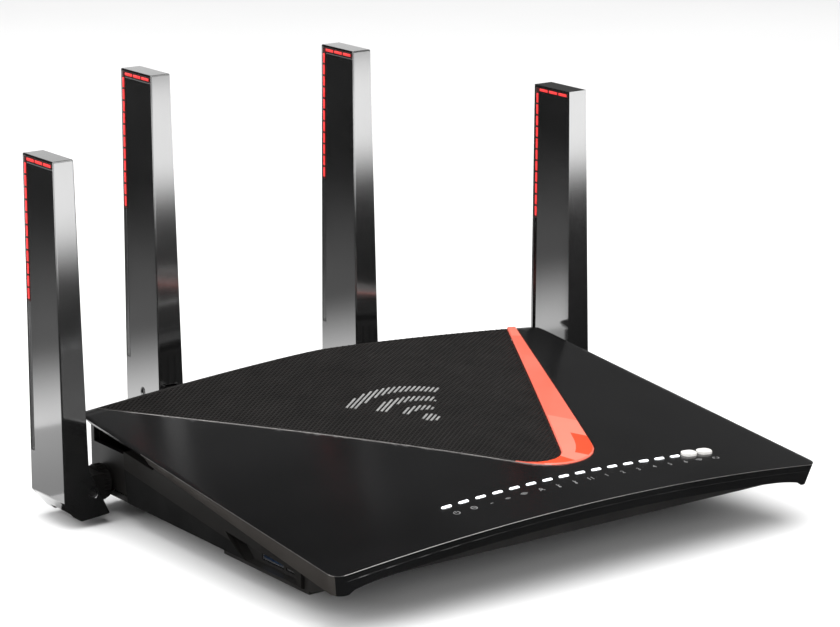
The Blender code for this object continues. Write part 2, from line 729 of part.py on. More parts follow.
def make_rear_controls():
    power = rod((POWER_X, REAR_Y - 7 * MM, ROUND_Z), (POWER_X, REAR_Y + KEY_PROUD, ROUND_Z), POWER_RADIUS)
    finish(power, "power_button", "gloss_black", (POWER_X, REAR_Y, ROUND_Z))
    sunk = REAR_Y - 0.6 * MM
    reset = rod((RESET_X, REAR_Y - 6 * MM, ROUND_Z), (RESET_X, sunk, ROUND_Z), RESET_RADIUS, 20)
    finish(reset, "reset_button", "satin_black", (RESET_X, REAR_Y, ROUND_Z))
    half, tall = SWITCH_KNOB[0] / 2, SWITCH_KNOB[1]
    low = (SWITCH_X - half, REAR_Y - 4 * MM, ROUND_Z + 0.2 * MM)
    knob = box(low, (SWITCH_X + half, REAR_Y + 1.2 * MM, ROUND_Z + 0.2 * MM + tall))
    finish(knob, "led_switch", "satin_black", (SWITCH_X, REAR_Y, ROUND_Z))


def make_usb_ports():
    face = -HOUSING_HALF + USB_RECESS_DEPTH + 0.2 * MM
    half_w, half_h = USB_SIZE[0] / 2, USB_SIZE[1] / 2
    hole_w, hole_h = USB_HOLE[0] / 2, USB_HOLE[1] / 2
    for k, y in enumerate(USB_Y, start=1):
        shell = box((face, y - half_w, USB_Z - half_h), (face + USB_LENGTH, y + half_w, USB_Z + half_h))
        mouth = (face - 2 * MM, y - hole_w, USB_Z - hole_h)
        cut(shell, box(mouth, (face + USB_DEPTH, y + hole_w, USB_Z + hole_h)))
        finish(shell, f"usb_port_{k}", "steel")


# ---------------------------------------------------------------------------------------------------- inside


def make_inside():
    board_top = BOARD_LOW + BOARD_THICKNESS
    side = FLOOR_HALF - 1 * MM
    rear = REAR_Y - PANEL_THICKNESS - 1 * MM
    finish(box((-side, BELLY_Y + 6 * MM, BOARD_LOW), (side, rear, board_top)), "main_board", "board")
    make_heat_sink()
    make_fan()
    x, y = FAN_CENTRE
    reach = FAN_SIZE / 2 + SINK_SIDE
    outer = FLOOR_HALF - 7 * MM
    front, back = y - 22 * MM, y + 24 * MM
    top = PORT_LOW + SHIELD_HEIGHT
    left = box((-outer, front, PORT_LOW), (x - reach - 9 * MM, back, top))
    finish(left, "radio_shield_left", "steel")
    right = box((x + reach + 7 * MM, front, PORT_LOW), (outer, back, top))
    finish(right, "radio_shield_right", "steel")


def make_heat_sink():
    """A finned block on the board, under the fan."""
    x, y = FAN_CENTRE
    half_x, half_y = FAN_SIZE / 2 + SINK_SIDE, FAN_SIZE / 2
    sink = box((x - half_x, y - half_y, PORT_LOW), (x + half_x, y + half_y, PORT_LOW + SINK_HEIGHT))
    pitch = 2 * half_x / SINK_FINS
    for k in range(1, SINK_FINS):
        centre = x - half_x + pitch * k
        low = (centre - FIN_GAP / 2, y - half_y - THROUGH, PORT_LOW + 3 * MM)
        cut(sink, box(low, (centre + FIN_GAP / 2, y + half_y + THROUGH, TALL)))
    finish(sink, "heat_sink", "aluminium")


def make_fan():
    x, y = FAN_CENTRE
    half = FAN_SIZE / 2
    frame = box((x - half, y - half, FAN_LOW), (x + half, y + half, FAN_LOW + FAN_HEIGHT))
    cut(frame, rod((x, y, FAN_LOW + 1.2 * MM), (x, y, FAN_LOW + 30 * MM), FAN_BORE, 40))
    for quarter in range(4):
        angle = math.pi / 2 * quarter + math.pi / 4
        middle = (x + 17.5 * MM * math.cos(angle), y + 17.5 * MM * math.sin(angle))
        cut(frame, rod((*middle, FAN_LOW - THROUGH), (*middle, FAN_LOW + THROUGH), 8.0 * MM, 24))
    join(frame, rod((x, y, FAN_LOW + 0.4 * MM), (x, y, FAN_LOW + 7 * MM), FAN_PIN, 20))
    finish(frame, "fan_frame", "satin_black")
    finish(fan_rotor(x, y), "fan_rotor", "satin_black", (x, y, FAN_LOW))


def fan_rotor(x, y):
    """A cup-shaped hub on the frame's pin, with pitched blades joined to it."""
    low, high = FAN_LOW + 1.8 * MM, FAN_LOW + FAN_HEIGHT - 0.6 * MM
    rotor = rod((x, y, low), (x, y, high), ROTOR_HUB, 36)
    for k in range(ROTOR_BLADES):
        root_low = (x + ROTOR_HUB - 2 * MM, y - 4.5 * MM, -0.6 * MM)
        blade = box(root_low, (x + ROTOR_RADIUS, y + 4.5 * MM, 0.6 * MM))
        centre = Vector((x, y, 0.0))
        pitch = Vector((0, 1, 0)).rotation_difference(Vector((0, 0.82, 0.57))).to_matrix()
        spin = 2 * math.pi * k / ROTOR_BLADES
        for vert in blade.data.vertices:
            local = pitch @ (vert.co - centre)
            vert.co = centre + Vector((
                local.x * math.cos(spin) - local.y * math.sin(spin),
                local.x * math.sin(spin) + local.y * math.cos(spin),
                local.z + (low + high) / 2,
            ))
        join(rotor, blade)
    cut(rotor, rod((x, y, low - 2 * MM), (x, y, FAN_LOW + 7.4 * MM), FAN_PIN + 0.2 * MM, 20))
    return rotor


# ------------------------------------------------------------------------------------------------- underside


def make_underside():
    corners = [(side * 1, y) for y in range(2) for side in (-1, 1)]
    for k, (side, row) in enumerate(corners, start=1):
        x, y = side * FOOT_X, FOOT_Y[row]
        foot = rod((x, y, 0.0), (x, y, FOOT_HEIGHT), FOOT_RADIUS - 0.5 * MM, 32, FOOT_RADIUS)
        finish(foot, f"rubber_foot_{k}", "rubber", (x, y, 0.0))
        x, y = side * SCREW_X, SCREW_Y[row]
        head = rod((x, y, HOUSING_FLOOR - 0.1 * MM), (x, y, HOUSING_FLOOR + 1.3 * MM), SCREW_HEAD, 24)
        join(head, rod((x, y, HOUSING_FLOOR + 0.6 * MM), (x, y, BOARD_LOW - 1.2 * MM), SCREW_RADIUS, 20))
        finish(head, f"case_screw_{k}", "steel", (x, y, HOUSING_FLOOR))


# -------------------------------------------------------------------------------------------------- antennas


def taper_width(obj, centre_y, top):
    """Widens a blade downwards by the same share on its front and rear edges."""
    for vert in obj.data.vertices:
        depth = top - vert.co.z
        offset = vert.co.y - centre_y
        vert.co.y = centre_y + offset * (1 + 2 * WIDTH_TAPER * depth / BLADE_WIDTH)


def side_foot(face_x, side):
    """The knee: the blade's lower end turns in towards the case. Side is -1 on the left, 1 on the right."""
    if side < 0:
        return [
            (face_x, 11.0 * MM),
            (face_x + 6.8 * MM, 3.0 * MM),
            (face_x + 19.6 * MM, 4.1 * MM),
            (face_x + 11.0 * MM, 23.2 * MM),
        ]
    return [
        (face_x, 23.2 * MM),
        (face_x - 8.4 * MM, 4.1 * MM),
        (face_x + 4.4 * MM, 3.0 * MM),
        (face_x + 11.2 * MM, 11.0 * MM),
    ]


def back_axis_x(side):
    """The middle of a rear blade's thickness, at the height of its hinge."""
    low_thickness = BLADE_THICKNESS + THICKNESS_TAPER * (BACK_TOP - BACK_AXIS_Z)
    return side * BACK_X - BLADE_THICKNESS / 2 + low_thickness / 2


def back_foot(face_x, top):
    bottom = top - BLADE_LENGTH
    grow = THICKNESS_TAPER * BLADE_LENGTH
    return [(face_x, bottom), (face_x + BLADE_THICKNESS + grow, bottom)]


def strip_shape(low_x, high_x, centre_y, top, bottom, inset):
    """An upside-down L: down the rear edge of the blade's outer face, and across under its top."""
    rear = centre_y + BLADE_WIDTH / 2 - GROOVE_EDGE
    front = centre_y - BLADE_WIDTH / 2 + GROOVE_EDGE
    ceiling = top - GROOVE_EDGE
    outline = [
        (rear - inset, bottom),
        (rear - inset, ceiling - inset),
        (front + inset, ceiling - inset),
        (front + inset, ceiling - GROOVE_WIDTH + inset),
        (rear - GROOVE_WIDTH + inset, ceiling - GROOVE_WIDTH + inset),
        (rear - GROOVE_WIDTH + inset, bottom),
    ]
    shape = prism(outline, "X", low_x, high_x)
    taper_width(shape, centre_y, top)
    return shape


def make_blade(tag, face_x, centre_y, top, foot, slot, pin_axis, pin_centre, origin):
    """The blade's casing with its cavity, the lid on the cavity, the board inside and the light strip."""
    half = BLADE_WIDTH / 2
    outline = [(face_x, top), *foot, (face_x + BLADE_THICKNESS, top)]
    shell = prism(outline, "Y", centre_y - half, centre_y + half)
    taper_width(shell, centre_y, top)
    slot_low, slot_high = slot
    cavity_low = slot_high[2] + 8 * MM
    cavity_high = top - 6 * MM
    inner = face_x + OUTER_WALL
    outer = face_x + 30 * MM
    room = half - BLADE_WALL
    cavity = box((inner, centre_y - room, cavity_low), (outer, centre_y + room, cavity_high))
    cut(shell, cavity)
    cut(shell, box(slot_low, slot_high))
    reach = Vector((30 * MM, 0, 0)) if pin_axis == "X" else Vector((0, 30 * MM, 0))
    middle = Vector(pin_centre)
    cut(shell, rod(middle - reach, middle + reach, PIN_RADIUS + PIN_FIT, 24))
    groove = strip_shape(face_x - 3 * MM, face_x + GROOVE_DEPTH, centre_y, top, cavity_low, 0.0)
    cut(shell, groove)
    finish(shell, f"{tag}_blade", "gloss_black", origin)

    def lid_face(z):
        return face_x + BLADE_THICKNESS + THICKNESS_TAPER * (top - z)

    lid_outline = [
        (lid_face(cavity_high) - LID_THICKNESS, cavity_high - GAP),
        (lid_face(cavity_low) - LID_THICKNESS, cavity_low + GAP),
        (lid_face(cavity_low), cavity_low + GAP),
        (lid_face(cavity_high), cavity_high - GAP),
    ]
    lid = prism(lid_outline, "Y", centre_y - room + GAP, centre_y + room - GAP)
    finish(lid, f"{tag}_lid", "gloss_black", origin)
    board = box(
        (inner + GAP, centre_y - half + 4 * MM, cavity_low + 3 * MM),
        (inner + 1.2 * MM, centre_y + half - 4 * MM, cavity_high - 3 * MM),
    )
    finish(board, f"{tag}_radiator", "board", origin)
    strip_end = top - STRIP_LENGTH
    strip = strip_shape(face_x + 0.1 * MM, face_x + GROOVE_DEPTH - GAP, centre_y, top, strip_end, FIT)
    finish(strip, f"{tag}_light_strip", "red_light", origin)


def make_side_antenna(tag, side):
    face_x = side * SIDE_X - BLADE_THICKNESS / 2
    pin_x = side * SIDE_PIN_X
    axis = (pin_x, SIDE_Y, SIDE_AXIS_Z)
    half_slot = SIDE_TONGUE / 2 + SLOT_FIT
    slot_x = sorted((pin_x + side * SIDE_SLOT_REACH, side * (HOUSING_REAR_HALF - 11 * MM)))
    slot = (
        (slot_x[0], SIDE_Y - half_slot, -THROUGH),
        (slot_x[1], SIDE_Y + half_slot, SIDE_AXIS_Z + SIDE_SLOT_RISE),
    )
    make_blade(tag, face_x, SIDE_Y, SIDE_TOP, side_foot(face_x, side), slot, "Y", axis, axis)

    def across(half_length, radius, sides=32):
        reach = Vector((0.0, half_length, 0.0))
        return rod(Vector(axis) - reach, Vector(axis) + reach, radius, sides)

    def outward(start, end, radius, sides=32):
        return rod((start, SIDE_Y, SIDE_AXIS_Z), (end, SIDE_Y, SIDE_AXIS_Z), radius, sides)

    finish(across(BLADE_WIDTH / 2 + 0.4 * MM, PIN_RADIUS, 24), f"{tag}_tilt_pin", "steel", axis)
    wall = side * HOUSING_REAR_HALF
    collar_start = wall + side * COLLAR_FIT
    collar_end = collar_start + side * COLLAR_LENGTH
    base = outward(collar_start, collar_end, SIDE_COLLAR_RADIUS, 36)
    arm = sorted((collar_end - side * 1 * MM, pin_x))
    arm_low = (arm[0], SIDE_Y - SIDE_TONGUE / 2, SIDE_AXIS_Z - SIDE_ARM)
    join(base, box(arm_low, (arm[1], SIDE_Y + SIDE_TONGUE / 2, SIDE_AXIS_Z + SIDE_ARM)))
    join(base, across(SIDE_TONGUE / 2, SIDE_KNUCKLE))
    cut(base, across(SIDE_TONGUE, PIN_RADIUS + PIN_FIT, 24))
    bore_end = collar_start + side * (SPIGOT_LENGTH + 0.4 * MM)
    cut(base, outward(collar_start - side * 2 * MM, bore_end, SPIGOT_RADIUS + PIN_FIT, 28))
    finish(base, f"{tag}_swivel", "satin_black", (wall, SIDE_Y, SIDE_AXIS_Z))
    jack = outward(wall - side * 6 * MM, wall + side * (COLLAR_FIT / 2), JACK_RADIUS)
    join(jack, outward(wall - side * 2 * MM, collar_start + side * SPIGOT_LENGTH, SPIGOT_RADIUS, 28))
    finish(jack, f"{tag}_jack", "brass", (wall, SIDE_Y, SIDE_AXIS_Z))


def make_back_antenna(tag, side):
    face_x = side * BACK_X - BLADE_THICKNESS / 2
    foot = back_foot(face_x, BACK_TOP)
    pin_z = BACK_AXIS_Z
    middle_x = back_axis_x(side)
    axis = (middle_x, BACK_Y, pin_z)
    half_slot = BACK_TONGUE / 2 + SLOT_FIT
    room = BACK_KNUCKLE + 0.5 * MM
    slot = (
        (middle_x - half_slot, BACK_Y - 40 * MM, -THROUGH),
        (middle_x + half_slot, BACK_Y + room, pin_z + room),
    )
    make_blade(tag, face_x, BACK_Y, BACK_TOP, foot, slot, "X", axis, axis)

    def across(half_length, radius, sides=32):
        reach = Vector((half_length, 0.0, 0.0))
        return rod(Vector(axis) - reach, Vector(axis) + reach, radius, sides)

    def rearward(start, end, radius, sides=32):
        return rod((middle_x, start, pin_z), (middle_x, end, pin_z), radius, sides)

    half_pin = middle_x - face_x - 0.85 * MM
    finish(across(half_pin, PIN_RADIUS, 24), f"{tag}_tilt_pin", "steel", axis)
    collar_start = REAR_Y + COLLAR_FIT
    collar_end = collar_start + COLLAR_LENGTH + 2 * MM
    neck_end = BACK_Y - BACK_CLEAR
    base = rearward(collar_start, collar_end, BACK_COLLAR_RADIUS, 36)
    join(base, rearward(collar_end - 1 * MM, neck_end, BACK_NECK))
    tongue_low = (middle_x - BACK_TONGUE / 2, neck_end - 1 * MM, pin_z - BACK_ARM)
    join(base, box(tongue_low, (middle_x + BACK_TONGUE / 2, BACK_Y, pin_z + BACK_ARM)))
    join(base, across(BACK_TONGUE / 2, BACK_KNUCKLE))
    cut(base, across(BACK_TONGUE, PIN_RADIUS + PIN_FIT, 24))
    bore_end = collar_start + SPIGOT_LENGTH + 0.4 * MM
    cut(base, rearward(collar_start - 2 * MM, bore_end, SPIGOT_RADIUS + PIN_FIT, 28))
    finish(base, f"{tag}_swivel", "satin_black", (middle_x, REAR_Y, pin_z))
    jack = rearward(REAR_Y - 8 * MM, REAR_Y + COLLAR_FIT / 2, JACK_RADIUS)
    join(jack, rearward(REAR_Y - 2 * MM, collar_start + SPIGOT_LENGTH, SPIGOT_RADIUS, 28))
    finish(jack, f"{tag}_jack", "brass", (middle_x, REAR_Y, pin_z))


def centre_on_footprint():
    """Moves the root so that the origin is under the middle of the whole object's bounding box."""
    graph = bpy.context.evaluated_depsgraph_get()
    corners = []
    for obj in parts.objects:
        if obj.type == "MESH":
            solid = obj.evaluated_get(graph)
            corners += [solid.matrix_world @ Vector(corner) for corner in solid.bound_box]
    for axis in range(2):
        values = [corner[axis] for corner in corners]
        root.location[axis] = -(min(values) + max(values)) / 2


clear_scene()
materials = make_materials()
parts = make_collection("wireless_router")
cutters = make_collection("cutters")
root = bpy.data.objects.new("router_root", None)
parts.objects.link(root)

make_top_cover()
make_grille()
make_accent()
make_light_guide()
make_keys()
make_lower_housing()
make_rear_panel()
make_rear_connectors()
make_rear_controls()
make_usb_ports()
make_inside()
make_underside()
make_side_antenna("left_antenna", -1)
make_side_antenna("right_antenna", 1)
make_back_antenna("rear_left_antenna", -1)
make_back_antenna("rear_right_antenna", 1)
centre_on_footprint()
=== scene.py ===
"""The looks of a desktop wireless router: studio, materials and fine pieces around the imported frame."""

import json
import math

import bmesh
import bpy
from mathutils import Matrix, Vector


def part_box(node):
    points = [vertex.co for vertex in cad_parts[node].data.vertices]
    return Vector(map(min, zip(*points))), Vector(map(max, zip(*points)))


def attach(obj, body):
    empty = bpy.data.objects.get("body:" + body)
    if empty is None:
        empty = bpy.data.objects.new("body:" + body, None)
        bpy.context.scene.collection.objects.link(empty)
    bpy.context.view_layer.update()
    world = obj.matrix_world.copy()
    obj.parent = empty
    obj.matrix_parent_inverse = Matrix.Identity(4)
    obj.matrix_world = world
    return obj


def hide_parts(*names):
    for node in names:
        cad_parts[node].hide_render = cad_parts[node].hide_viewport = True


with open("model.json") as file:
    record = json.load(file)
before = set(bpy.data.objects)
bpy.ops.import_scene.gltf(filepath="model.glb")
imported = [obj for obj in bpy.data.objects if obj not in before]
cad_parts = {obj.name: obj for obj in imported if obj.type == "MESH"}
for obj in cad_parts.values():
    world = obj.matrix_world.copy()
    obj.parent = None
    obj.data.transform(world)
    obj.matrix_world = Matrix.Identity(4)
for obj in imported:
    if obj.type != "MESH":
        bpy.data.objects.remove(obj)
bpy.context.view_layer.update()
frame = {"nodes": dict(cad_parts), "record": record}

MM = 0.001
NODES = frame["nodes"]

# The cover's top surface, on the case's own centre line: x across, y back from the case's middle
COVER_LOW, COVER_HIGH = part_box("top_cover")
HALF_WIDTH = (COVER_HIGH.x - COVER_LOW.x) / 2
LIP_BOW = 3.0 * MM
LIP_Y = -84.25 * MM
CASE_X = (COVER_HIGH.x + COVER_LOW.x) / 2
CASE_Y = COVER_LOW.y - LIP_Y + LIP_BOW
LIP_HEIGHT = 24.0 * MM
DECK_SLOPE = math.tan(math.radians(5.65))
ARCH_RISE = 7.5 * MM
ARCH_POWER_FRONT = 2.0
ARCH_POWER_REAR = 1.35
CREST_Y = 90.0 * MM
REAR_FALL = 0.5

# Plan outlines on the cover: three corners, of which the front one is rounded
WINDOW = ((-104.0 * MM, CREST_Y), (19.7 * MM, -73.6 * MM), (101.0 * MM, CREST_Y))
WINDOW_ROUND = 21.8 * MM
MESH_AREA = ((-104.0 * MM, CREST_Y), (9.4 * MM, -59.9 * MM), (95.9 * MM, CREST_Y))
MESH_ROUND = 13.8 * MM

SIDES = {"left_antenna": -1, "right_antenna": 1, "rear_left_antenna": -1, "rear_right_antenna": 1}


def middle_of(node):
    low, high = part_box(node)
    return (low + high) / 2


def deck(x, y):
    """Height of the cover's top surface at a point given from the case's middle."""
    along = min(max((y - LIP_Y) / (CREST_Y - LIP_Y), 0.0), 1.0)
    power = ARCH_POWER_FRONT + (ARCH_POWER_REAR - ARCH_POWER_FRONT) * along
    arch = ARCH_RISE * (1 - min(abs(x) / HALF_WIDTH, 1.0) ** power)
    fall = max(y - CREST_Y, 0.0) * REAR_FALL
    return LIP_HEIGHT + (min(y, CREST_Y) - LIP_Y) * DECK_SLOPE + arch - fall


def on_deck(x, y, up=0.0):
    return Vector((x + CASE_X, y + CASE_Y, deck(x, y) + up))


# -------------------- materials


class Surface:
    """A procedural material: colour that drifts with noise, uneven gloss and a fine moulded grain."""

    def __init__(self, name):
        self.material = bpy.data.materials.new(name)
        self.material.use_nodes = True
        self.tree = self.material.node_tree
        self.shader = self.tree.nodes["Principled BSDF"]
        self.place = self.tree.nodes.new("ShaderNodeTexCoord").outputs["Object"]

    def node(self, kind, **values):
        made = self.tree.nodes.new(kind)
        for key, value in values.items():
            setattr(made, key, value)
        return made

    def link(self, output, target):
        self.tree.links.new(output, target)

    def noise(self, scale, detail=3.0, stretch=None):
        source = self.place
        if stretch:
            mapping = self.node("ShaderNodeMapping")
            mapping.inputs["Scale"].default_value = stretch
            self.link(source, mapping.inputs["Vector"])
            source = mapping.outputs["Vector"]
        noise = self.node("ShaderNodeTexNoise")
        noise.inputs["Scale"].default_value = scale
        noise.inputs["Detail"].default_value = detail
        self.link(source, noise.inputs["Vector"])
        return noise.outputs["Fac"]

    def spread(self, value, low, high):
        remap = self.node("ShaderNodeMapRange")
        remap.inputs["From Min"].default_value = 0.3
        remap.inputs["From Max"].default_value = 0.7
        remap.inputs["To Min"].default_value = low
        remap.inputs["To Max"].default_value = high
        self.link(value, remap.inputs["Value"])
        return remap.outputs["Result"]

    def colour(self, dark, light, scale, stretch=None):
        ramp = self.node("ShaderNodeValToRGB")
        ramp.color_ramp.elements[0].color = (*dark, 1.0)
        ramp.color_ramp.elements[1].color = (*light, 1.0)
        ramp.color_ramp.elements[0].position = 0.3
        ramp.color_ramp.elements[1].position = 0.7
        self.link(self.noise(scale, stretch=stretch), ramp.inputs["Fac"])
        self.link(ramp.outputs["Color"], self.shader.inputs["Base Color"])
        return self

    def gloss(self, low, high, scale, stretch=None):
        roughness = self.spread(self.noise(scale, stretch=stretch), low, high)
        self.link(roughness, self.shader.inputs["Roughness"])
        return self

    def grain(self, scale, strength, depth=0.02 * MM, stretch=None):
        bump = self.node("ShaderNodeBump")
        bump.inputs["Strength"].default_value = strength
        bump.inputs["Distance"].default_value = depth
        self.link(self.noise(scale, 2.0, stretch), bump.inputs["Height"])
        self.link(bump.outputs["Normal"], self.shader.inputs["Normal"])
        return self

    def set(self, **values):
        for key, value in values.items():
            self.shader.inputs[key.replace("_", " ")].default_value = value
        return self


def gloss_black():
    made = Surface("gloss_black_plastic")
    made.colour((0.0045, 0.0045, 0.0046), (0.0065, 0.0065, 0.0067), 25)
    made.gloss(0.19, 0.22, 20)
    made.grain(900, 0.05)
    return made.set(IOR=1.50).material


def skirt_black():
    # The brownish grey base colour is painted light: the cover's black plastic coloured as if lit from the
    # left. Only the rougher satin gloss is its own finish.
    made = Surface("cover_side_satin_painted_light")
    made.colour((0.030, 0.0265, 0.0235), (0.037, 0.033, 0.0295), 60)
    made.gloss(0.38, 0.46, 60)
    made.grain(1800, 0.2, 0.03 * MM)
    return made.material


def antenna_black():
    made = Surface("antenna_gloss_black")
    made.colour((0.006, 0.006, 0.006), (0.010, 0.010, 0.010), 50)
    made.gloss(0.10, 0.13, 45)
    made.grain(900, 0.04)
    return made.set(IOR=1.8, Coat_Weight=1.0, Coat_Roughness=0.08, Coat_IOR=1.75).material


def satin_black():
    made = Surface("satin_black_plastic")
    made.colour((0.008, 0.0075, 0.007), (0.014, 0.013, 0.012), 80)
    made.gloss(0.36, 0.50, 60)
    made.grain(1800, 0.35, 0.04 * MM)
    return made.material


def side_satin():
    made = Surface("side_wall_satin")
    made.colour((0.0075, 0.0068, 0.0062), (0.0105, 0.0096, 0.0088), 60)
    made.gloss(0.44, 0.54, 60)
    made.grain(1800, 0.3, 0.03 * MM)
    return made.set(Specular_IOR_Level=0.25).material


def mesh_black():
    made = Surface("mesh_powder_coat")
    made.colour((0.0060, 0.0052, 0.0048), (0.0105, 0.0092, 0.0086), 90)
    made.gloss(0.46, 0.60, 200)
    made.grain(3000, 0.3, 0.03 * MM)
    return made.set(Specular_IOR_Level=0.22).material


def cavity_black():
    # Near-black, rough and nearly without gloss: painted shade on the mesh backing, the screw drives and
    # the face below the side relief's crease. On the second USB tongue it is that tongue's own black
    # plastic.
    made = Surface("black_and_painted_shade")
    made.colour((0.003, 0.003, 0.003), (0.006, 0.006, 0.006), 80)
    made.gloss(0.6, 0.8, 60)
    return made.set(Specular_IOR_Level=0.15).material


def silver_print():
    made = Surface("silver_print")
    made.colour((0.30, 0.30, 0.30), (0.42, 0.42, 0.41), 300)
    made.gloss(0.38, 0.5, 200)
    return made.set(Metallic=0.4).material


def white_print():
    made = Surface("white_print")
    made.colour((0.16, 0.16, 0.16), (0.24, 0.24, 0.24), 600)
    made.gloss(0.45, 0.6, 200)
    return made.material


def coral(name, dark, light, glow):
    made = Surface(name)
    made.colour(dark, light, 28)
    made.gloss(0.16, 0.24, 40)
    made.grain(1200, 0.05)
    # The emission is a painted glow: the coral plastic is no lamp.
    return made.set(
        Coat_Weight=0.3, Coat_Roughness=0.1, Emission_Color=(*light, 1.0), Emission_Strength=glow
    ).material


def lit(name, colour, strength):
    made = Surface(name)
    made.colour(tuple(0.8 * c for c in colour), colour, 400)
    made.gloss(0.25, 0.35, 200)
    return made.set(Emission_Color=(*colour, 1.0), Emission_Strength=strength).material


def metal(name, dark, light, low, high, stretch=None, scale=160):
    made = Surface(name)
    made.colour(dark, light, scale, stretch)
    made.gloss(low, high, scale, stretch)
    made.grain(scale * 6, 0.15, 0.02 * MM, stretch)
    return made.set(Metallic=1.0).material


def rubber():
    made = Surface("foot_rubber")
    made.colour((0.016, 0.016, 0.016), (0.030, 0.030, 0.030), 160)
    made.gloss(0.75, 0.9, 120)
    made.grain(2400, 0.5, 0.05 * MM)
    return made.material


def solder_mask():
    made = Surface("board_solder_mask")
    made.colour((0.010, 0.060, 0.028), (0.020, 0.095, 0.045), 120)
    made.gloss(0.35, 0.5, 120)
    made.grain(700, 0.3, 0.03 * MM)
    return made.material


LOOKS = {
    "gloss_black": gloss_black(),
    "antenna_black": antenna_black(),
    "satin_black": satin_black(),
    "mesh_black": mesh_black(),
    "coral": coral("coral_gloss", (0.70, 0.120, 0.075), (0.76, 0.155, 0.105), 0.10),
    "white_light": lit("white_light_lens", (0.95, 0.97, 1.0), 1.1),
    "red_light": lit("smoked_red_lens", (0.05, 0.008, 0.008), 0.2),
    "rubber": rubber(),
    "steel": metal("brushed_steel", (0.42, 0.42, 0.43), (0.60, 0.60, 0.61), 0.24, 0.38, (1, 1, 14)),
    "brass": metal("turned_brass", (0.58, 0.41, 0.16), (0.74, 0.56, 0.27), 0.22, 0.34),
    "aluminium": metal("cast_aluminium", (0.46, 0.47, 0.48), (0.62, 0.63, 0.65), 0.38, 0.52),
    "board": solder_mask(),
}
BLACK_AND_PAINTED_SHADE = cavity_black()
SKIRT_PAINTED_LIGHT = skirt_black()
SIDE_SATIN = side_satin()
SILVER = silver_print()
PRINT = white_print()
# The antenna dashes are red design, no lamp: their emission is a painted glow.
RED_DASH_PAINTED_GLOW = lit("red_dash_painted_glow", (0.78, 0.035, 0.035), 0.55)
KEY_LIT = lit("key_pad_lit", (0.72, 0.71, 0.69), 0.15)
# Pale and deep copies of the coral, laid on single facets: painted highlight and painted shade.
CORAL_PAINTED_HIGHLIGHT = coral("coral_painted_highlight", (0.74, 0.165, 0.110), (0.80, 0.215, 0.155), 0.10)
CORAL_PAINTED_SHADE = coral("coral_painted_shade", (0.68, 0.052, 0.018), (0.74, 0.072, 0.026), 0.08)
GOLD = metal("contact_gold", (0.75, 0.50, 0.16), (0.88, 0.64, 0.26), 0.2, 0.3)
# A metallic grey for the thin edge beads: painted highlight where the edges catch light.
EDGE_PAINTED_HIGHLIGHT = metal("edge_painted_highlight", (0.24, 0.23, 0.23), (0.32, 0.31, 0.30), 0.28, 0.36)
JACK_LIGHT = lit("socket_light", (0.30, 0.34, 0.28), 0.15)
# The blue USB tongue is plastic, no lamp: its emission is a painted glow.
BLUE_PAINTED_GLOW = lit("usb_tongue_blue_painted_glow", (0.03, 0.13, 0.34), 0.35)


# -------------------- mesh helpers


def new_object(name, data):
    obj = bpy.data.objects.new(name, data)
    bpy.context.scene.collection.objects.link(obj)
    return obj


def mesh_of(name, bm):
    mesh = bpy.data.meshes.new(name)
    bm.to_mesh(mesh)
    bm.free()
    return mesh


def piece(name, bm, body, material, smooth=30.0):
    """Names a finished mesh, paints it and lets it ride on a body."""
    bmesh.ops.recalc_face_normals(bm, faces=bm.faces)
    mesh = mesh_of(name, bm)
    obj = new_object(name, mesh)
    for made in material if isinstance(material, (list, tuple)) else [material]:
        mesh.materials.append(made)
    mesh.shade_smooth()
    mesh.set_sharp_from_angle(angle=math.radians(smooth))
    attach(obj, body)
    return obj


def add_box(bm, low, high):
    made = bmesh.ops.create_cube(bm, size=1.0)["verts"]
    for vert in made:
        for axis in range(3):
            middle = (low[axis] + high[axis]) / 2
            vert.co[axis] = middle + vert.co[axis] * (high[axis] - low[axis])
    return made


def add_rod(bm, start, end, radius, sides=24, end_radius=None):
    start, end = Vector(start), Vector(end)
    made = bmesh.ops.create_cone(
        bm,
        cap_ends=True,
        segments=sides,
        radius1=radius,
        radius2=radius if end_radius is None else end_radius,
        depth=(end - start).length,
    )["verts"]
    turn = Vector((0, 0, 1)).rotation_difference(end - start).to_matrix()
    bmesh.ops.rotate(bm, verts=made, matrix=turn)
    bmesh.ops.translate(bm, verts=made, vec=(start + end) / 2)
    return made


def add_sweep(bm, path, section, closed=False):
    """A bar along a path of points; section gives (sideways, up) offsets of its outline."""
    rings = []
    count = len(path)
    for i, point in enumerate(path):
        before = path[i - 1] if closed else path[max(i - 1, 0)]
        after = path[(i + 1) % count] if closed else path[min(i + 1, count - 1)]
        along = (after - before).normalized()
        across = along.cross(Vector((0, 0, 1))).normalized()
        up = across.cross(along)
        rings.append([bm.verts.new(point + across * a + up * b) for a, b in section])
    spans = list(zip(rings, rings[1:])) + ([(rings[-1], rings[0])] if closed else [])
    for ring, following in spans:
        for k in range(len(section)):
            j = (k + 1) % len(section)
            bm.faces.new((ring[k], ring[j], following[j], following[k]))
    if not closed:
        bm.faces.new(rings[0])
        bm.faces.new(list(reversed(rings[-1])))


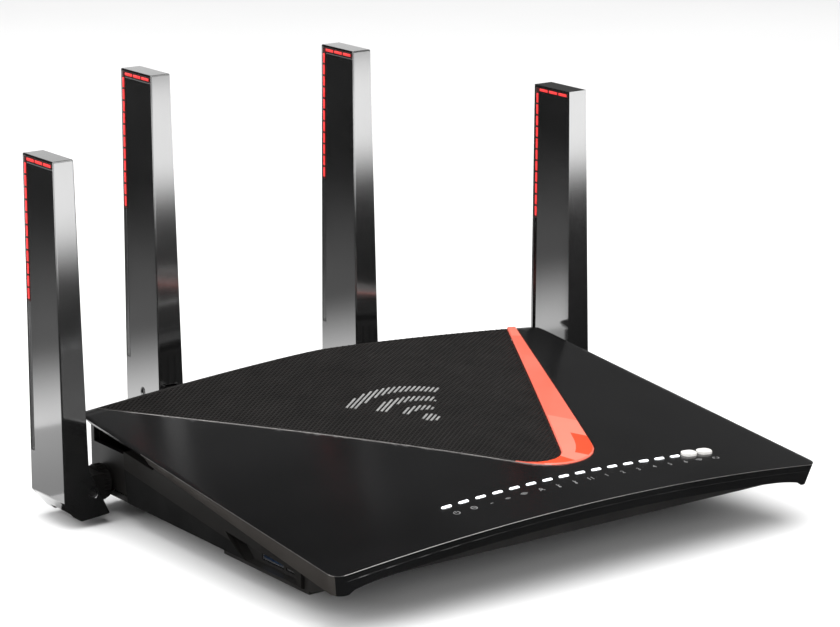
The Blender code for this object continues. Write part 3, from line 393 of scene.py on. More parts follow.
def rounded(corners, radius, inset=0.0, steps=16):
    """The outline of a plan triangle in metres, moved in by inset, with its front corner rounded."""
    points = [Vector(corner) for corner in corners]
    lines = []
    for i, start in enumerate(points):
        along = (points[(i + 1) % 3] - start).normalized()
        lines.append((start + Vector((-along.y, along.x)) * inset, along))
    moved = []
    for i in range(3):
        (a, along_a), (b, along_b) = lines[i - 1], lines[i]
        cross = along_a.x * along_b.y - along_a.y * along_b.x
        reach = ((b - a).x * along_b.y - (b - a).y * along_b.x) / cross
        moved.append(a + along_a * reach)
    rear_left, apex, rear_right = moved
    radius -= inset
    before = (rear_left - apex).normalized()
    after = (rear_right - apex).normalized()
    half = before.angle(after) / 2
    centre = apex + (before + after).normalized() * radius / math.sin(half)
    first = apex + before * radius / math.tan(half) - centre
    arc = []
    for step in range(steps + 1):
        angle = (math.pi - 2 * half) * step / steps
        arc.append(centre + Matrix.Rotation(angle, 2) @ first)
    return [rear_left, *arc, rear_right]


def clip(outline, point, along):
    """Where a plan line enters and leaves a convex outline, or None."""
    low, high = -1.0, 1.0
    for i, a in enumerate(outline):
        b = outline[(i + 1) % len(outline)]
        edge = b - a
        inward = Vector((-edge.y, edge.x))
        rate = inward.dot(along)
        gap = inward.dot(point - a)
        if abs(rate) < 1e-12:
            if gap < 0:
                return None
            continue
        reach = -gap / rate
        if rate > 0:
            low = max(low, reach)
        else:
            high = min(high, reach)
    return (low, high) if high - low > 0.4 * MM else None


# -------------------- CAD surfaces


def paint_frame():
    """Every carried-over CAD node gets its slot's procedural material."""
    for row in frame["record"]["subparts"]:
        node = NODES[row["node"]]
        node.data.materials.clear()
        node.data.materials.append(LOOKS[row["material_slot"]])


def soften(node, width, angle=35.0, segments=2):
    """Rounds a CAD node's edges with modifiers, leaving its own mesh as it is."""
    obj = NODES[node]
    weld = obj.modifiers.new("weld", "WELD")
    weld.merge_threshold = 0.002 * MM
    bevel = obj.modifiers.new("edge", "BEVEL")
    bevel.width = width
    bevel.segments = segments
    bevel.limit_method = "ANGLE"
    bevel.angle_limit = math.radians(angle)
    bevel.harden_normals = True
    bevel.use_clamp_overlap = True


# -------------------- mesh panel

RIB_PITCH = 1.7 * MM
RIB_HEADING = math.radians(36)
RIB_WIDTH = 0.80 * MM
RIB_HEIGHT = 0.75 * MM
WEB_WIDTH = 0.55 * MM
WEB_HEIGHT = 0.40 * MM
WEB_DROP = 0.25 * MM
MESH_INSET = 0.35 * MM
RIM_INSET = 0.8 * MM
RIM_SIZE = (1.0 * MM, 1.1 * MM)
RIM_STEP = 8 * MM
BACKING = (-1.2 * MM, -0.85 * MM)
BACKING_INSET = 0.5 * MM


def rib_paths(outline, heading, pitch):
    """Parallel plan lines across an outline, each as its two ends."""
    along = Vector((math.cos(heading), math.sin(heading)))
    across = Vector((-along.y, along.x))
    middle = Vector((0.0, 20 * MM))
    reach = 150 * MM
    for k in range(-math.ceil(reach / pitch), math.ceil(reach / pitch) + 1):
        start = middle + across * k * pitch
        span = clip(outline, start, along)
        if span:
            yield start + along * span[0], start + along * span[1]


def rib_path(start, end, level, step=6 * MM):
    count = max(2, math.ceil((end - start).length / step) + 1)
    path = []
    for i in range(count):
        spot = start.lerp(end, i / (count - 1))
        path.append(on_deck(spot.x, spot.y, level))
    return path


def round_section(width, height):
    """A bar's outline with its top corners cut, its top at zero."""
    half = width / 2
    shoulder = -height * 0.4
    return [
        (-half, -height), (half, -height), (half, shoulder),
        (half * 0.55, 0.0), (-half * 0.55, 0.0), (-half, shoulder),
    ]


def make_mesh_panel():
    """Crossed ribs, a rim round them and a dark sheet behind them as painted shade."""
    outline = rounded(MESH_AREA, MESH_ROUND, MESH_INSET)
    ribs = bmesh.new()
    for start, end in rib_paths(outline, RIB_HEADING, RIB_PITCH):
        add_sweep(ribs, rib_path(start, end, 0.0), round_section(RIB_WIDTH, RIB_HEIGHT))
    for start, end in rib_paths(outline, RIB_HEADING + math.pi / 2, RIB_PITCH):
        add_sweep(ribs, rib_path(start, end, -WEB_DROP), round_section(WEB_WIDTH, WEB_HEIGHT))
    panel = piece("mesh_ribs", ribs, "case", LOOKS["mesh_black"])
    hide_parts("mesh_grille")
    rim = bmesh.new()
    ring = rounded(MESH_AREA, MESH_ROUND, RIM_INSET, 24)
    path = []
    for spot, following in zip(ring, ring[1:] + ring[:1]):
        count = max(1, math.ceil((following - spot).length / RIM_STEP))
        for k in range(count):
            place = spot.lerp(following, k / count)
            path.append(on_deck(place.x, place.y))
    add_sweep(rim, path, round_section(*RIM_SIZE), closed=True)
    piece("mesh_rim", rim, "case", LOOKS["mesh_black"])
    # The dark sheet under the ribs is painted shade, standing for the dark inside of the case.
    backing = deck_slab(rounded(MESH_AREA, MESH_ROUND, BACKING_INSET), *BACKING)
    piece("mesh_backing", backing, "case", BLACK_AND_PAINTED_SHADE)


# -------------------- cover

COVER_WALL = 3.0 * MM
FRONT_BAND = 6.5 * MM
SKIRT_FRONT = 8.4 * MM
SKIRT_STEP = 3.6 * MM
SKIRT_STEP_Y = 43.0 * MM
SKIRT_LEAN = 2.0 * MM
REAR_Y = 98.0 * MM
CORNER_CUT = 11.0 * MM
STRIP_THICKNESS = 1.6 * MM
GAP = 0.3 * MM
LIGHT_COUNT = 15
LIGHT_FIRST_X = -49.0 * MM
LIGHT_PITCH = 7.62 * MM
LIGHT_Y = -63.0 * MM
LIGHT_SIZE = (4.4 * MM, 1.35 * MM)
KEY_X = [middle_of(node).x - CASE_X for node in ("wifi_button", "wps_button")]
KEY_SIZE = (6.7 * MM, 4.3 * MM)
CORNER_ROUND = 5.0 * MM
CORNER_REACH = 20.0 * MM
SLOT_FIT = 0.12 * MM
LIGHT_X = [LIGHT_FIRST_X + LIGHT_PITCH * k for k in range(LIGHT_COUNT)]
WHOLE = 400 * MM
CUT_REACH = 9 * MM
CELLS_EACH_WAY = 14
LEDGE = 3 * MM
POCKET_TOP = 8 * MM
SKIRT_FACE = 2.5 * MM
COVER_EDGE = 0.45 * MM
GRID = (96, 80)
LENS_DEPTH = 3.0 * MM
LENS_RISE = 0.28 * MM
CAP_RISE = 1.0 * MM


def deck_slab(outline, low, high, cell=9 * MM):
    """A closed slab with this plan outline, in the case's own plan, that follows the deck."""
    bm = bmesh.new()
    face = bm.faces.new([bm.verts.new((p.x, p.y, 0.0)) for p in outline])
    face.normal_update()
    for axis in range(2):
        for k in range(-CELLS_EACH_WAY, CELLS_EACH_WAY + 1):
            normal = Vector((0.0, 0.0, 0.0))
            normal[axis] = 1.0
            bmesh.ops.bisect_plane(
                bm, geom=bm.verts[:] + bm.edges[:] + bm.faces[:],
                plane_co=normal * k * cell, plane_no=normal,
            )
    extruded = bmesh.ops.extrude_face_region(bm, geom=bm.faces[:])
    upper = {item for item in extruded["geom"] if isinstance(item, bmesh.types.BMVert)}
    for vert in bm.verts:
        vert.co = on_deck(vert.co.x, vert.co.y, high if vert in upper else low)
    bmesh.ops.recalc_face_normals(bm, faces=bm.faces)
    return bm


def slot_outline(x, size, steps=8):
    reach, radius = (size[0] - size[1]) / 2, size[1] / 2
    outline = []
    for side in (1, -1):
        for step in range(steps + 1):
            angle = side * math.pi / 2 - math.pi * step / steps
            outline.append(Vector((
                x + side * reach + radius * math.cos(angle),
                LIGHT_Y + radius * math.sin(angle),
            )))
    return outline


def tool(bm):
    return new_object("tool", mesh_of("tool", bm))


def apply_modifiers(obj, *tools):
    """Bakes the object's modifiers into its mesh and removes the cutting tools."""
    graph = bpy.context.evaluated_depsgraph_get()
    mesh = bpy.data.meshes.new_from_object(obj.evaluated_get(graph))
    obj.modifiers.clear()
    obj.data = mesh
    for used in tools:
        bpy.data.objects.remove(used, do_unlink=True)


def skirt_height(y):
    if y > SKIRT_STEP_Y:
        return SKIRT_STEP * 0.6
    share = (y - LIP_Y) / (SKIRT_STEP_Y - LIP_Y)
    return SKIRT_FRONT + (SKIRT_STEP - SKIRT_FRONT) * share


def half_width_at(y):
    return HALF_WIDTH - max(y - (REAR_Y - CORNER_CUT), 0.0) * 0.7


def band_height(x):
    share = max(1 - (HALF_WIDTH - abs(x)) / CORNER_REACH, 0.0)
    return FRONT_BAND + (SKIRT_FRONT - FRONT_BAND) * share * share


def rounded_off(ahead):
    """How much the front corners' rounding takes off the half width this far behind the lip."""
    near = max(CORNER_ROUND - ahead, 0.0)
    return CORNER_ROUND - math.sqrt(CORNER_ROUND ** 2 - near ** 2)


def cut(obj, cutter, name="cut"):
    boolean = obj.modifiers.new(name, "BOOLEAN")
    boolean.object = cutter
    boolean.solver = "EXACT"


def slots():
    """Centre and size of each opening in the row: the lights, then the keys."""
    yield from ((x, LIGHT_SIZE) for x in LIGHT_X)
    yield from ((x, KEY_SIZE) for x in KEY_X)


def cover_sheet():
    """The cover's skin on a fine grid: the deck, and a hem hanging from its front and sides."""
    bm = bmesh.new()
    bmesh.ops.create_grid(bm, x_segments=GRID[0], y_segments=GRID[1], size=1.0)
    front, sides = set(), set()
    for vert in bm.verts:
        u, v = vert.co.x, (vert.co.y + 1) / 2
        if abs(abs(u) - 1) < 1e-6:
            sides.add(vert)
        if v < 1e-6:
            front.add(vert)
        lip = LIP_Y - LIP_BOW * (1 - u * u)
        y = lip + (REAR_Y - lip) * v ** 1.5
        x = u * (half_width_at(y) - rounded_off(y - lip))
        vert.co = (x, y, deck(x, y))
    rim = [e for e in bm.edges if e.is_boundary and all(v in front or v in sides for v in e.verts)]
    drops = {vert.co.to_tuple(7): skirt_height(vert.co.y) for vert in sides}
    for vert in front - sides:
        drops[vert.co.to_tuple(7)] = band_height(vert.co.x)
    hem = bmesh.ops.extrude_edge_only(bm, edges=rim)
    for item in hem["geom"]:
        if not isinstance(item, bmesh.types.BMVert):
            continue
        x, y, z = item.co
        drop = drops[item.co.to_tuple(7)]
        x *= 1 - SKIRT_LEAN / HALF_WIDTH
        y += SKIRT_LEAN * (REAR_Y - y) / (REAR_Y - LIP_Y)
        item.co = (x, y, z - drop)
    for vert in bm.verts:
        vert.co += Vector((CASE_X, CASE_Y, 0.0))
    return bm


def make_cover():
    """The glossy top shell, with its window pocket, light slots and eased edges."""
    cover = piece("cover_shell", cover_sheet(), "case", [LOOKS["gloss_black"], SKIRT_PAINTED_LIGHT], 40.0)
    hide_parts("top_cover")
    wall = cover.modifiers.new("wall", "SOLIDIFY")
    wall.thickness = COVER_WALL
    wall.offset = -1.0
    tools = [
        tool(deck_slab(rounded(WINDOW, WINDOW_ROUND), -STRIP_THICKNESS - GAP, POCKET_TOP)),
        tool(deck_slab(rounded(WINDOW, WINDOW_ROUND, LEDGE), -CUT_REACH, CUT_REACH)),
    ]
    for x, (length, width) in slots():
        outline = slot_outline(x, (length + 2 * SLOT_FIT, width + 2 * SLOT_FIT))
        tools.append(tool(deck_slab(outline, -CUT_REACH, CUT_REACH, WHOLE)))
    for cutter in tools:
        cut(cover, cutter)
    apply_modifiers(cover, *tools)
    ease_cover(cover)


def ease_cover(cover):
    """Rounds the cut edges, and gives the outer faces of the side skirts their satin gloss and a lighter
    colour that is painted light.
    """
    weld = cover.modifiers.new("weld", "WELD")
    weld.merge_threshold = 0.004 * MM
    bevel = cover.modifiers.new("edge", "BEVEL")
    bevel.width = COVER_EDGE
    bevel.segments = 3
    bevel.angle_limit = math.radians(50)
    bevel.use_clamp_overlap = True
    apply_modifiers(cover)
    cover.data.shade_smooth()
    cover.data.set_sharp_from_angle(angle=math.radians(40))
    # The outward side faces take the second slot, the skirt's lighter colour, which is painted light.
    for face in cover.data.polygons:
        outward = abs(face.normal.x) > 0.75 and face.normal.z < 0.35
        if outward and abs(face.center.x - CASE_X) > HALF_WIDTH - SKIRT_FACE:
            face.material_index = 1


def make_lenses():
    """A lens standing a little proud in each slot, and the caps of the two keys."""
    bm = bmesh.new()
    for x in LIGHT_X:
        add_cap(bm, x, LIGHT_SIZE, -LENS_DEPTH, LENS_RISE)
    lenses = piece("light_lenses", bm, "case", LOOKS["white_light"])
    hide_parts("light_guide")
    for name, x in zip(("wifi", "wps"), KEY_X):
        bm = bmesh.new()
        add_cap(bm, x, KEY_SIZE, -LENS_DEPTH, CAP_RISE)
        cap = piece(f"{name}_cap", bm, f"{name}_key", KEY_LIT)
        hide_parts(f"{name}_button")


def add_cap(bm, x, size, low, high):
    """A round-ended block whose top follows the deck, with an eased upper edge."""
    slab = deck_slab(slot_outline(x, size), low, high, WHOLE)
    top = [edge for edge in slab.edges if all(on_top(vert, low, high) for vert in edge.verts)]
    bmesh.ops.bevel(slab, geom=top, offset=0.2 * MM, segments=2, affect="EDGES")
    bm.from_mesh(mesh_of("cap", slab))


def on_top(vert, low, high):
    own = deck(vert.co.x - CASE_X, vert.co.y - CASE_Y)
    return vert.co.z - own > (low + high) / 2


# -------------------- antennas

DASH_COUNT = 11
DASH_SIZE = (4.0 * MM, 1.15 * MM)
DASH_PITCH = 4.85 * MM
WIDTH_TAPER = 0.0113
BLADE_WIDTH = 23.2 * MM
GROOVE_EDGE = 1.0 * MM
GROOVE_WIDTH = 1.9 * MM
DASH_DEPTH = (-0.22 * MM, 0.2 * MM)
COLUMN_START = 2.6 * MM
ROW_COUNT = 3
ROW_START = 5.0 * MM
ROW_PITCH = 6.3 * MM
ROW_DASH = (5.2 * MM, 1.1 * MM)


def add_dash(bm, face, y, z, across, tall):
    """A dash with rounded shoulders, set in the groove at this face."""
    low = (face + DASH_DEPTH[0], y - across / 2, z - tall / 2)
    high = (face + DASH_DEPTH[1], y + across / 2, z + tall / 2)
    edges = {edge for vert in add_box(bm, low, high) for edge in vert.link_edges}
    bmesh.ops.bevel(bm, geom=list(edges), offset=0.16 * MM, segments=2, affect="EDGES", profile=0.6)


def make_dashes(tag):
    """The red dashes in the groove, given a painted glow: a column down the rear edge and a short row
    under the top.
    """
    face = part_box(f"{tag}_light_strip")[0].x
    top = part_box(f"{tag}_blade")[1].z
    middle = middle_of(f"{tag}_blade").y
    bm = bmesh.new()
    for k in range(DASH_COUNT):
        z = top - GROOVE_EDGE - COLUMN_START - DASH_PITCH * k - DASH_SIZE[0] / 2
        widen = 1 + 2 * WIDTH_TAPER * (top - z) / BLADE_WIDTH
        y = middle + (BLADE_WIDTH / 2 - GROOVE_EDGE - GROOVE_WIDTH / 2) * widen
        add_dash(bm, face, y, z, DASH_SIZE[1], DASH_SIZE[0])
    z = top - GROOVE_EDGE - GROOVE_WIDTH / 2
    for k in range(ROW_COUNT):
        y = middle + BLADE_WIDTH / 2 - GROOVE_EDGE - ROW_START - ROW_PITCH * k
        add_dash(bm, face, y, z, *ROW_DASH)
    piece(f"{tag}_dashes", bm, tag, RED_DASH_PAINTED_GLOW)


# -------------------- accent strip

STRIP_RISE = 0.5 * MM
STRIP_STATIONS = 44
STRIP_DEPTH = 1.5 * MM
STRIP_BORDER = 0.5 * MM
FACET_SHARE = 0.34
FACET_RISE = 0.28 * MM


def along_outline(outline, share):
    """A plan point at a share of the way along an open outline."""
    lengths = [(b - a).length for a, b in zip(outline, outline[1:])]
    reach = share * sum(lengths)
    for a, b, length in zip(outline, outline[1:], lengths):
        if reach <= length:
            return a.lerp(b, reach / length)
        reach -= length
    return outline[-1]


def make_accent():
    """A glossy strip with a flat face, bevelled borders and cut facets round the front bend."""
    outer = rounded(WINDOW, WINDOW_ROUND, 0.3 * MM, 30)
    inner = rounded(MESH_AREA, MESH_ROUND, -0.05 * MM, 30)
    outer_run, inner_run = outer[1:], inner[1:]
    bm = bmesh.new()
    rows = []
    for i in range(STRIP_STATIONS + 1):
        share = i / STRIP_STATIONS
        out = along_outline(outer_run, share)
        into = along_outline(inner_run, share)
        width = (out - into).length
        side = min(STRIP_BORDER / width, 0.3)
        ripple = math.sin(min(share / FACET_SHARE, 1.0) * math.pi * 3)
        facet = FACET_RISE * ripple if share < FACET_SHARE else 0.0
        ridge = min(STRIP_RISE + facet, STRIP_RISE)
        section = []
        for across, up in (
            (0.0, -STRIP_DEPTH), (0.0, 0.05 * MM), (side, STRIP_RISE), (0.5, ridge),
            (1 - side, STRIP_RISE), (1.0, 0.05 * MM), (1.0, -STRIP_DEPTH),
        ):
            spot = into.lerp(out, across)
            section.append(bm.verts.new(on_deck(spot.x, spot.y, up)))
        rows.append(section)
    for i, (a, b) in enumerate(zip(rows, rows[1:])):
        share = (i + 0.5) / STRIP_STATIONS
        for k in range(6):
            face = bm.faces.new((a[k], a[k + 1], b[k + 1], b[k]))
            # The strip's top facets get plain, pale or deep coral: pale is painted highlight, deep is
            # painted shade.
            if k in (2, 3):
                face.material_index = facet_colour(share, k == 3)
        bm.faces.new((a[6], a[0], b[0], b[6]))
    bm.faces.new(rows[0])
    bm.faces.new(list(reversed(rows[-1])))
    strip = piece("accent_strip", bm, "case", [LOOKS["coral"], CORAL_PAINTED_HIGHLIGHT, CORAL_PAINTED_SHADE], 12.0)
    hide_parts("accent_trim")


def facet_colour(share, outer):
    """Which coral a facet is painted with: plain, pale as a painted highlight, or deep as painted shade.
    """
    if share > 0.93:
        return 1
    if share > 0.36:
        return 0
    if share > 0.27:
        return 1
    if share > 0.17:
        return 2 if outer else 1
    if share > 0.11:
        return 1
    return 2


# -------------------- marks on the mesh panel

MARK_CENTRE = (-4.0 * MM, 8.0 * MM)
MARK_DOT = 3.6 * MM
MARK_RINGS = ((8.0 * MM, 12.4 * MM), (17.5 * MM, 22.4 * MM), (28.0 * MM, 33.6 * MM))
MARK_SPREAD = math.radians(42)
MARK_STEP = 0.2 * MM
MARK_LIFT = 0.07 * MM
MARK_SECTION = round_section(RIB_WIDTH + 0.06 * MM, 0.35 * MM)


def inside_mark(spot):
    """True inside a fan of signal arcs that opens to the rear."""
    x, y = spot.x - MARK_CENTRE[0], spot.y - MARK_CENTRE[1]
    radius = math.hypot(x, y)
    if radius < MARK_DOT:
        return True
    if abs(math.atan2(x, y)) > MARK_SPREAD:
        return False
    return any(low < radius < high for low, high in MARK_RINGS)


def make_panel_mark():
    """Silver caps on the ribs wherever a rib crosses the mark."""
    outline = rounded(MESH_AREA, MESH_ROUND, MESH_INSET)
    bm = bmesh.new()
    for start, end in rib_paths(outline, RIB_HEADING, RIB_PITCH):
        count = int((end - start).length / MARK_STEP)
        run = None
        for i in range(count + 1):
            spot = start.lerp(end, i / count)
            if inside_mark(spot):
                run = run or spot.copy()
                last = spot.copy()
            elif run is not None:
                if (last - run).length > 0.5 * MM:
                    add_sweep(bm, rib_path(run, last, MARK_LIFT, 3 * MM), MARK_SECTION)
                run = None
    piece("panel_mark", bm, "case", SILVER)


# -------------------- details

EDGE_RADIUS = 0.26 * MM
EDGE_INSET = 0.22 * MM
EDGE_STEPS = 60
WINDOW_EDGE_RADIUS = 0.17 * MM
ROUND_BEAD = [(math.cos(math.radians(a)), math.sin(math.radians(a))) for a in range(0, 360, 45)]
LABEL_Y = -69.2 * MM
LABEL_HEIGHT = 3.0 * MM
LABEL_LIFT = 0.02 * MM
TEXT_THICKNESS = 0.05 * MM
LINE = [(-0.16 * MM, -0.03 * MM), (0.16 * MM, -0.03 * MM), (0.16 * MM, 0.03 * MM), (-0.16 * MM, 0.03 * MM)]
ARCS_FOOT = LABEL_Y - 1.0 * MM


def ease(bm, verts, width, segments=2):
    """Rounds the edges of one small block."""
    edges = {edge for vert in verts for edge in vert.link_edges}
    bmesh.ops.bevel(bm, geom=list(edges), offset=width, segments=segments, affect="EDGES")


def bead_section(radius):
    return [(radius * a, radius * b) for a, b in ROUND_BEAD]


def make_edge_beads():
    """A thin silvery bead round the front of the cover, and one along the mesh's left side: painted
    highlights for the light caught on these edges.
    """
    side = []
    for k in range(EDGE_STEPS):
        y = LIP_Y + (SKIRT_STEP_Y - LIP_Y) * (k / (EDGE_STEPS - 1)) ** 2
        side.append((half_width_at(y) - rounded_off(y - LIP_Y) - EDGE_INSET, y + EDGE_INSET))
    path = [(-x, y) for x, y in reversed(side)]
    for k in range(1, EDGE_STEPS):
        u = 2 * k / EDGE_STEPS - 1
        path.append((u * (HALF_WIDTH - CORNER_ROUND), LIP_Y - LIP_BOW * (1 - u * u) + EDGE_INSET))
    path += side
    bm = bmesh.new()
    add_sweep(bm, [on_deck(x, y, -0.30 * MM) for x, y in path], bead_section(EDGE_RADIUS))
    piece("cover_edge", bm, "case", EDGE_PAINTED_HIGHLIGHT)
    outline = rounded(WINDOW, WINDOW_ROUND, -0.05 * MM, 24)
    start, end = outline[0], outline[1]
    path = [start.lerp(end, 0.01 + 0.99 * k / 30) for k in range(31)] + outline[2:8]
    bm = bmesh.new()
    add_sweep(bm, [on_deck(p.x, p.y, 0.02 * MM) for p in path], bead_section(WINDOW_EDGE_RADIUS))
    piece("window_edge", bm, "case", EDGE_PAINTED_HIGHLIGHT)


def add_flat_text(bm, words, x, y, height):
    """A generic numeral laid flat on the deck."""
    curve = bpy.data.curves.new("words", "FONT")
    curve.body = words
    curve.size = height
    curve.align_x = "CENTER"
    curve.align_y = "CENTER"
    curve.resolution_u = 3
    curve.extrude = TEXT_THICKNESS / 2
    drawn = new_object("words", curve)
    graph = bpy.context.evaluated_depsgraph_get()
    mesh = bpy.data.meshes.new_from_object(drawn.evaluated_get(graph))
    bpy.data.objects.remove(drawn, do_unlink=True)
    before = set(bm.verts)
    bm.from_mesh(mesh)
    for vert in set(bm.verts) - before:
        vert.co = on_deck(x + vert.co.x, y + vert.co.y, vert.co.z + 0.01 * MM)


def add_ring(bm, x, y, radius, start=0.0, sweep=360.0):
    """A thin printed line on the deck, round a whole circle or along an arc."""
    steps = 20
    closed = sweep >= 360.0
    path = []
    for k in range(steps if closed else steps + 1):
        angle = math.radians(start + sweep * k / steps)
        path.append(on_deck(x + radius * math.cos(angle), y + radius * math.sin(angle), LABEL_LIFT))
    add_sweep(bm, path, LINE, closed)


def add_stroke(bm, x, y, dx, dy):
    add_sweep(bm, [on_deck(x, y, LABEL_LIFT), on_deck(x + dx, y + dy, LABEL_LIFT)], LINE)


def add_arcs(bm, x, count):
    """Signal arcs that open to the rear."""
    for k in range(count):
        add_ring(bm, x, ARCS_FOOT, (0.7 + 0.65 * k) * MM, start=40, sweep=100)


def make_light_labels():
    """Plain signs by the lights: rings, bars and signal arcs, and the numerals 1 to 6 for the sockets."""
    bm = bmesh.new()
    r = 1.15 * MM
    power, line, *bands = LIGHT_X[:5]
    add_ring(bm, power, LABEL_Y, r, start=125, sweep=290)
    add_stroke(bm, power, LABEL_Y + 0.2 * MM, 0, 1.3 * MM)
    add_ring(bm, line, LABEL_Y, r)
    add_stroke(bm, line - r, LABEL_Y, 2 * r, 0)
    for arcs, x in enumerate(bands, start=1):
        add_arcs(bm, x, arcs)
    guest = LIGHT_X[5]
    add_ring(bm, guest, LABEL_Y + 0.5 * MM, 0.55 * MM)
    add_ring(bm, guest, LABEL_Y - 1.3 * MM, 1.1 * MM, start=20, sweep=140)
    for x in LIGHT_X[6:8]:
        add_stroke(bm, x, LABEL_Y - 1.2 * MM, 0, 2.4 * MM)
        add_ring(bm, x, LABEL_Y - 1.2 * MM, 0.35 * MM)
        add_stroke(bm, x, LABEL_Y - 0.3 * MM, 0.8 * MM, 0.8 * MM)
    for side in (-1, 1):
        add_stroke(bm, LIGHT_X[8] + side * 0.8 * MM, LABEL_Y - 1.1 * MM, 0, 2.2 * MM)
    for number, x in enumerate(LIGHT_X[9:], start=1):
        add_flat_text(bm, str(number), x, LABEL_Y, LABEL_HEIGHT)
    wifi, wps = KEY_X
    add_arcs(bm, wifi, 3)
    add_ring(bm, wps, LABEL_Y, 0.8 * MM, start=40, sweep=200)
    add_ring(bm, wps + 1.0 * MM, LABEL_Y, 0.8 * MM, start=220, sweep=200)
    piece("light_labels", bm, "case", PRINT, 60.0)


TONGUE_HALF = 5.2 * MM
TONGUE_DEPTH = (0.8 * MM, 9.5 * MM)
TONGUE_RISE = (0.2 * MM, 1.9 * MM)
USB_CONTACTS = 4
USB_CONTACT_PITCH = 2.3 * MM
USB_CONTACT_HALF = 0.5 * MM
USB_CONTACT_DEPTH = (1.4 * MM, 8.0 * MM)
USB_CONTACT_RISE = (0.05 * MM, 0.22 * MM)


def add_bar(bm, place, half, depth, rise):
    """A bar that runs inwards from a socket's mouth on the left side."""
    low = (place.x + depth[0], place.y - half, place.z + rise[0])
    return add_box(bm, low, (place.x + depth[1], place.y + half, place.z + rise[1]))


def make_usb_tongues():
    """The tongue in each USB socket, a blue one with a painted glow and a black one, with the contacts on
    its underside.
    """
    for k in (1, 2):
        middle = middle_of(f"usb_port_{k}")
        mouth = Vector((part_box(f"usb_port_{k}")[0].x, middle.y, middle.z))
        bm = bmesh.new()
        ease(bm, add_bar(bm, mouth, TONGUE_HALF, TONGUE_DEPTH, TONGUE_RISE), 0.2 * MM)
        piece(f"usb_tongue_{k}", bm, "case", BLUE_PAINTED_GLOW if k == 1 else BLACK_AND_PAINTED_SHADE)
        contacts = bmesh.new()
        for c in range(USB_CONTACTS):
            place = mouth + Vector((0.0, (c - (USB_CONTACTS - 1) / 2) * USB_CONTACT_PITCH, 0.0))
            add_bar(contacts, place, USB_CONTACT_HALF, USB_CONTACT_DEPTH, USB_CONTACT_RISE)
        piece(f"usb_contacts_{k}", contacts, "case", GOLD)


JACK_PITCH = 15.2 * MM
PORT_LOW = 8.1 * MM
JACK_HOLE = (11.8 * MM, 8.2 * MM)
JACK_HEIGHT = 13.2 * MM
CONTACT_PITCH = 1.02 * MM
STATUS_X = 4.6 * MM
RIM_GAP = 0.25 * MM
RIM_RADIUS = 0.22 * MM


def jack_centres():
    middle = middle_of("lan_jack_block").x
    return [middle_of("wan_jack").x] + [middle + (k - 2.5) * JACK_PITCH for k in range(6)]


def make_jack_details():
    """Gold contacts, status lights and a raised rim in each network socket."""
    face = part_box("lan_jack_block")[1].y
    gold, lights, rims = bmesh.new(), bmesh.new(), bmesh.new()
    low_z = PORT_LOW + (JACK_HEIGHT - JACK_HOLE[1]) / 2
    for x in jack_centres():
        for c in range(8):
            spot = x + (c - 3.5) * CONTACT_PITCH
            add_box(
                gold,
                (spot - 0.2 * MM, face - 11.5 * MM, low_z + 0.6 * MM),
                (spot + 0.2 * MM, face - 2.2 * MM, low_z + 0.95 * MM),
            )
        for side in (-1, 1):
            centre = x + side * STATUS_X
            add_box(
                lights,
                (centre - 1.1 * MM, face - 0.5 * MM, low_z + JACK_HOLE[1] + 0.55 * MM),
                (centre + 1.1 * MM, face + 0.12 * MM, low_z + JACK_HOLE[1] + 1.75 * MM),
            )
        half = JACK_HOLE[0] / 2 + RIM_GAP
        foot, top = low_z - 0.2 * MM, low_z + JACK_HOLE[1] + 0.2 * MM
        corners = [(x - half, foot), (x + half, foot), (x + half, top), (x - half, top)]
        path = [Vector((a, face + 0.05 * MM, b)) for a, b in corners]
        for start, end in zip(path, path[1:] + path[:1]):
            add_rod(rims, start, end, RIM_RADIUS, 8)
    piece("jack_contacts", gold, "case", GOLD)
    piece("jack_lights", lights, "case", JACK_LIGHT)
    piece("jack_rims", rims, "case", LOOKS["satin_black"])


LOUVRE_COUNT = 56
LOUVRE_HALF = 0.62 * MM
LOUVRE_FOOT = 23.5 * MM
LOUVRE_MARGIN = 8 * MM
HINGE_CLEAR = 8.5 * MM
HINGE_X = [middle_of(f"{tag}_jack").x for tag in SIDES if tag.startswith("rear")]


def make_rear_vents():
    """A row of raised louvre bars along the top of the rear panel, with gaps at the hinges."""
    low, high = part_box("rear_panel")
    bm = bmesh.new()
    for k in range(LOUVRE_COUNT):
        x = low.x + LOUVRE_MARGIN + (high.x - low.x - 2 * LOUVRE_MARGIN) * k / (LOUVRE_COUNT - 1)
        top = deck(x - CASE_X, REAR_Y) - 6.2 * MM
        near_hinge = any(abs(x - hinge) < HINGE_CLEAR for hinge in HINGE_X)
        if near_hinge or top - LOUVRE_FOOT < 3 * MM:
            continue
        start = (x - LOUVRE_HALF, high.y - 0.1 * MM, LOUVRE_FOOT)
        ease(bm, add_box(bm, start, (x + LOUVRE_HALF, high.y + 0.7 * MM, top)), 0.25 * MM)
    piece("rear_louvres", bm, "case", LOOKS["satin_black"])


def add_floor_block(bm, x, y, half_x, half_y, drop, round_off):
    """A low block under the floor, given by its middle in the case's plan."""
    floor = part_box("lower_housing")[0].z
    low = (CASE_X + x - half_x, CASE_Y + y - half_y, floor - drop)
    high = (CASE_X + x + half_x, CASE_Y + y + half_y, floor + 0.2 * MM)
    ease(bm, add_box(bm, low, high), round_off)


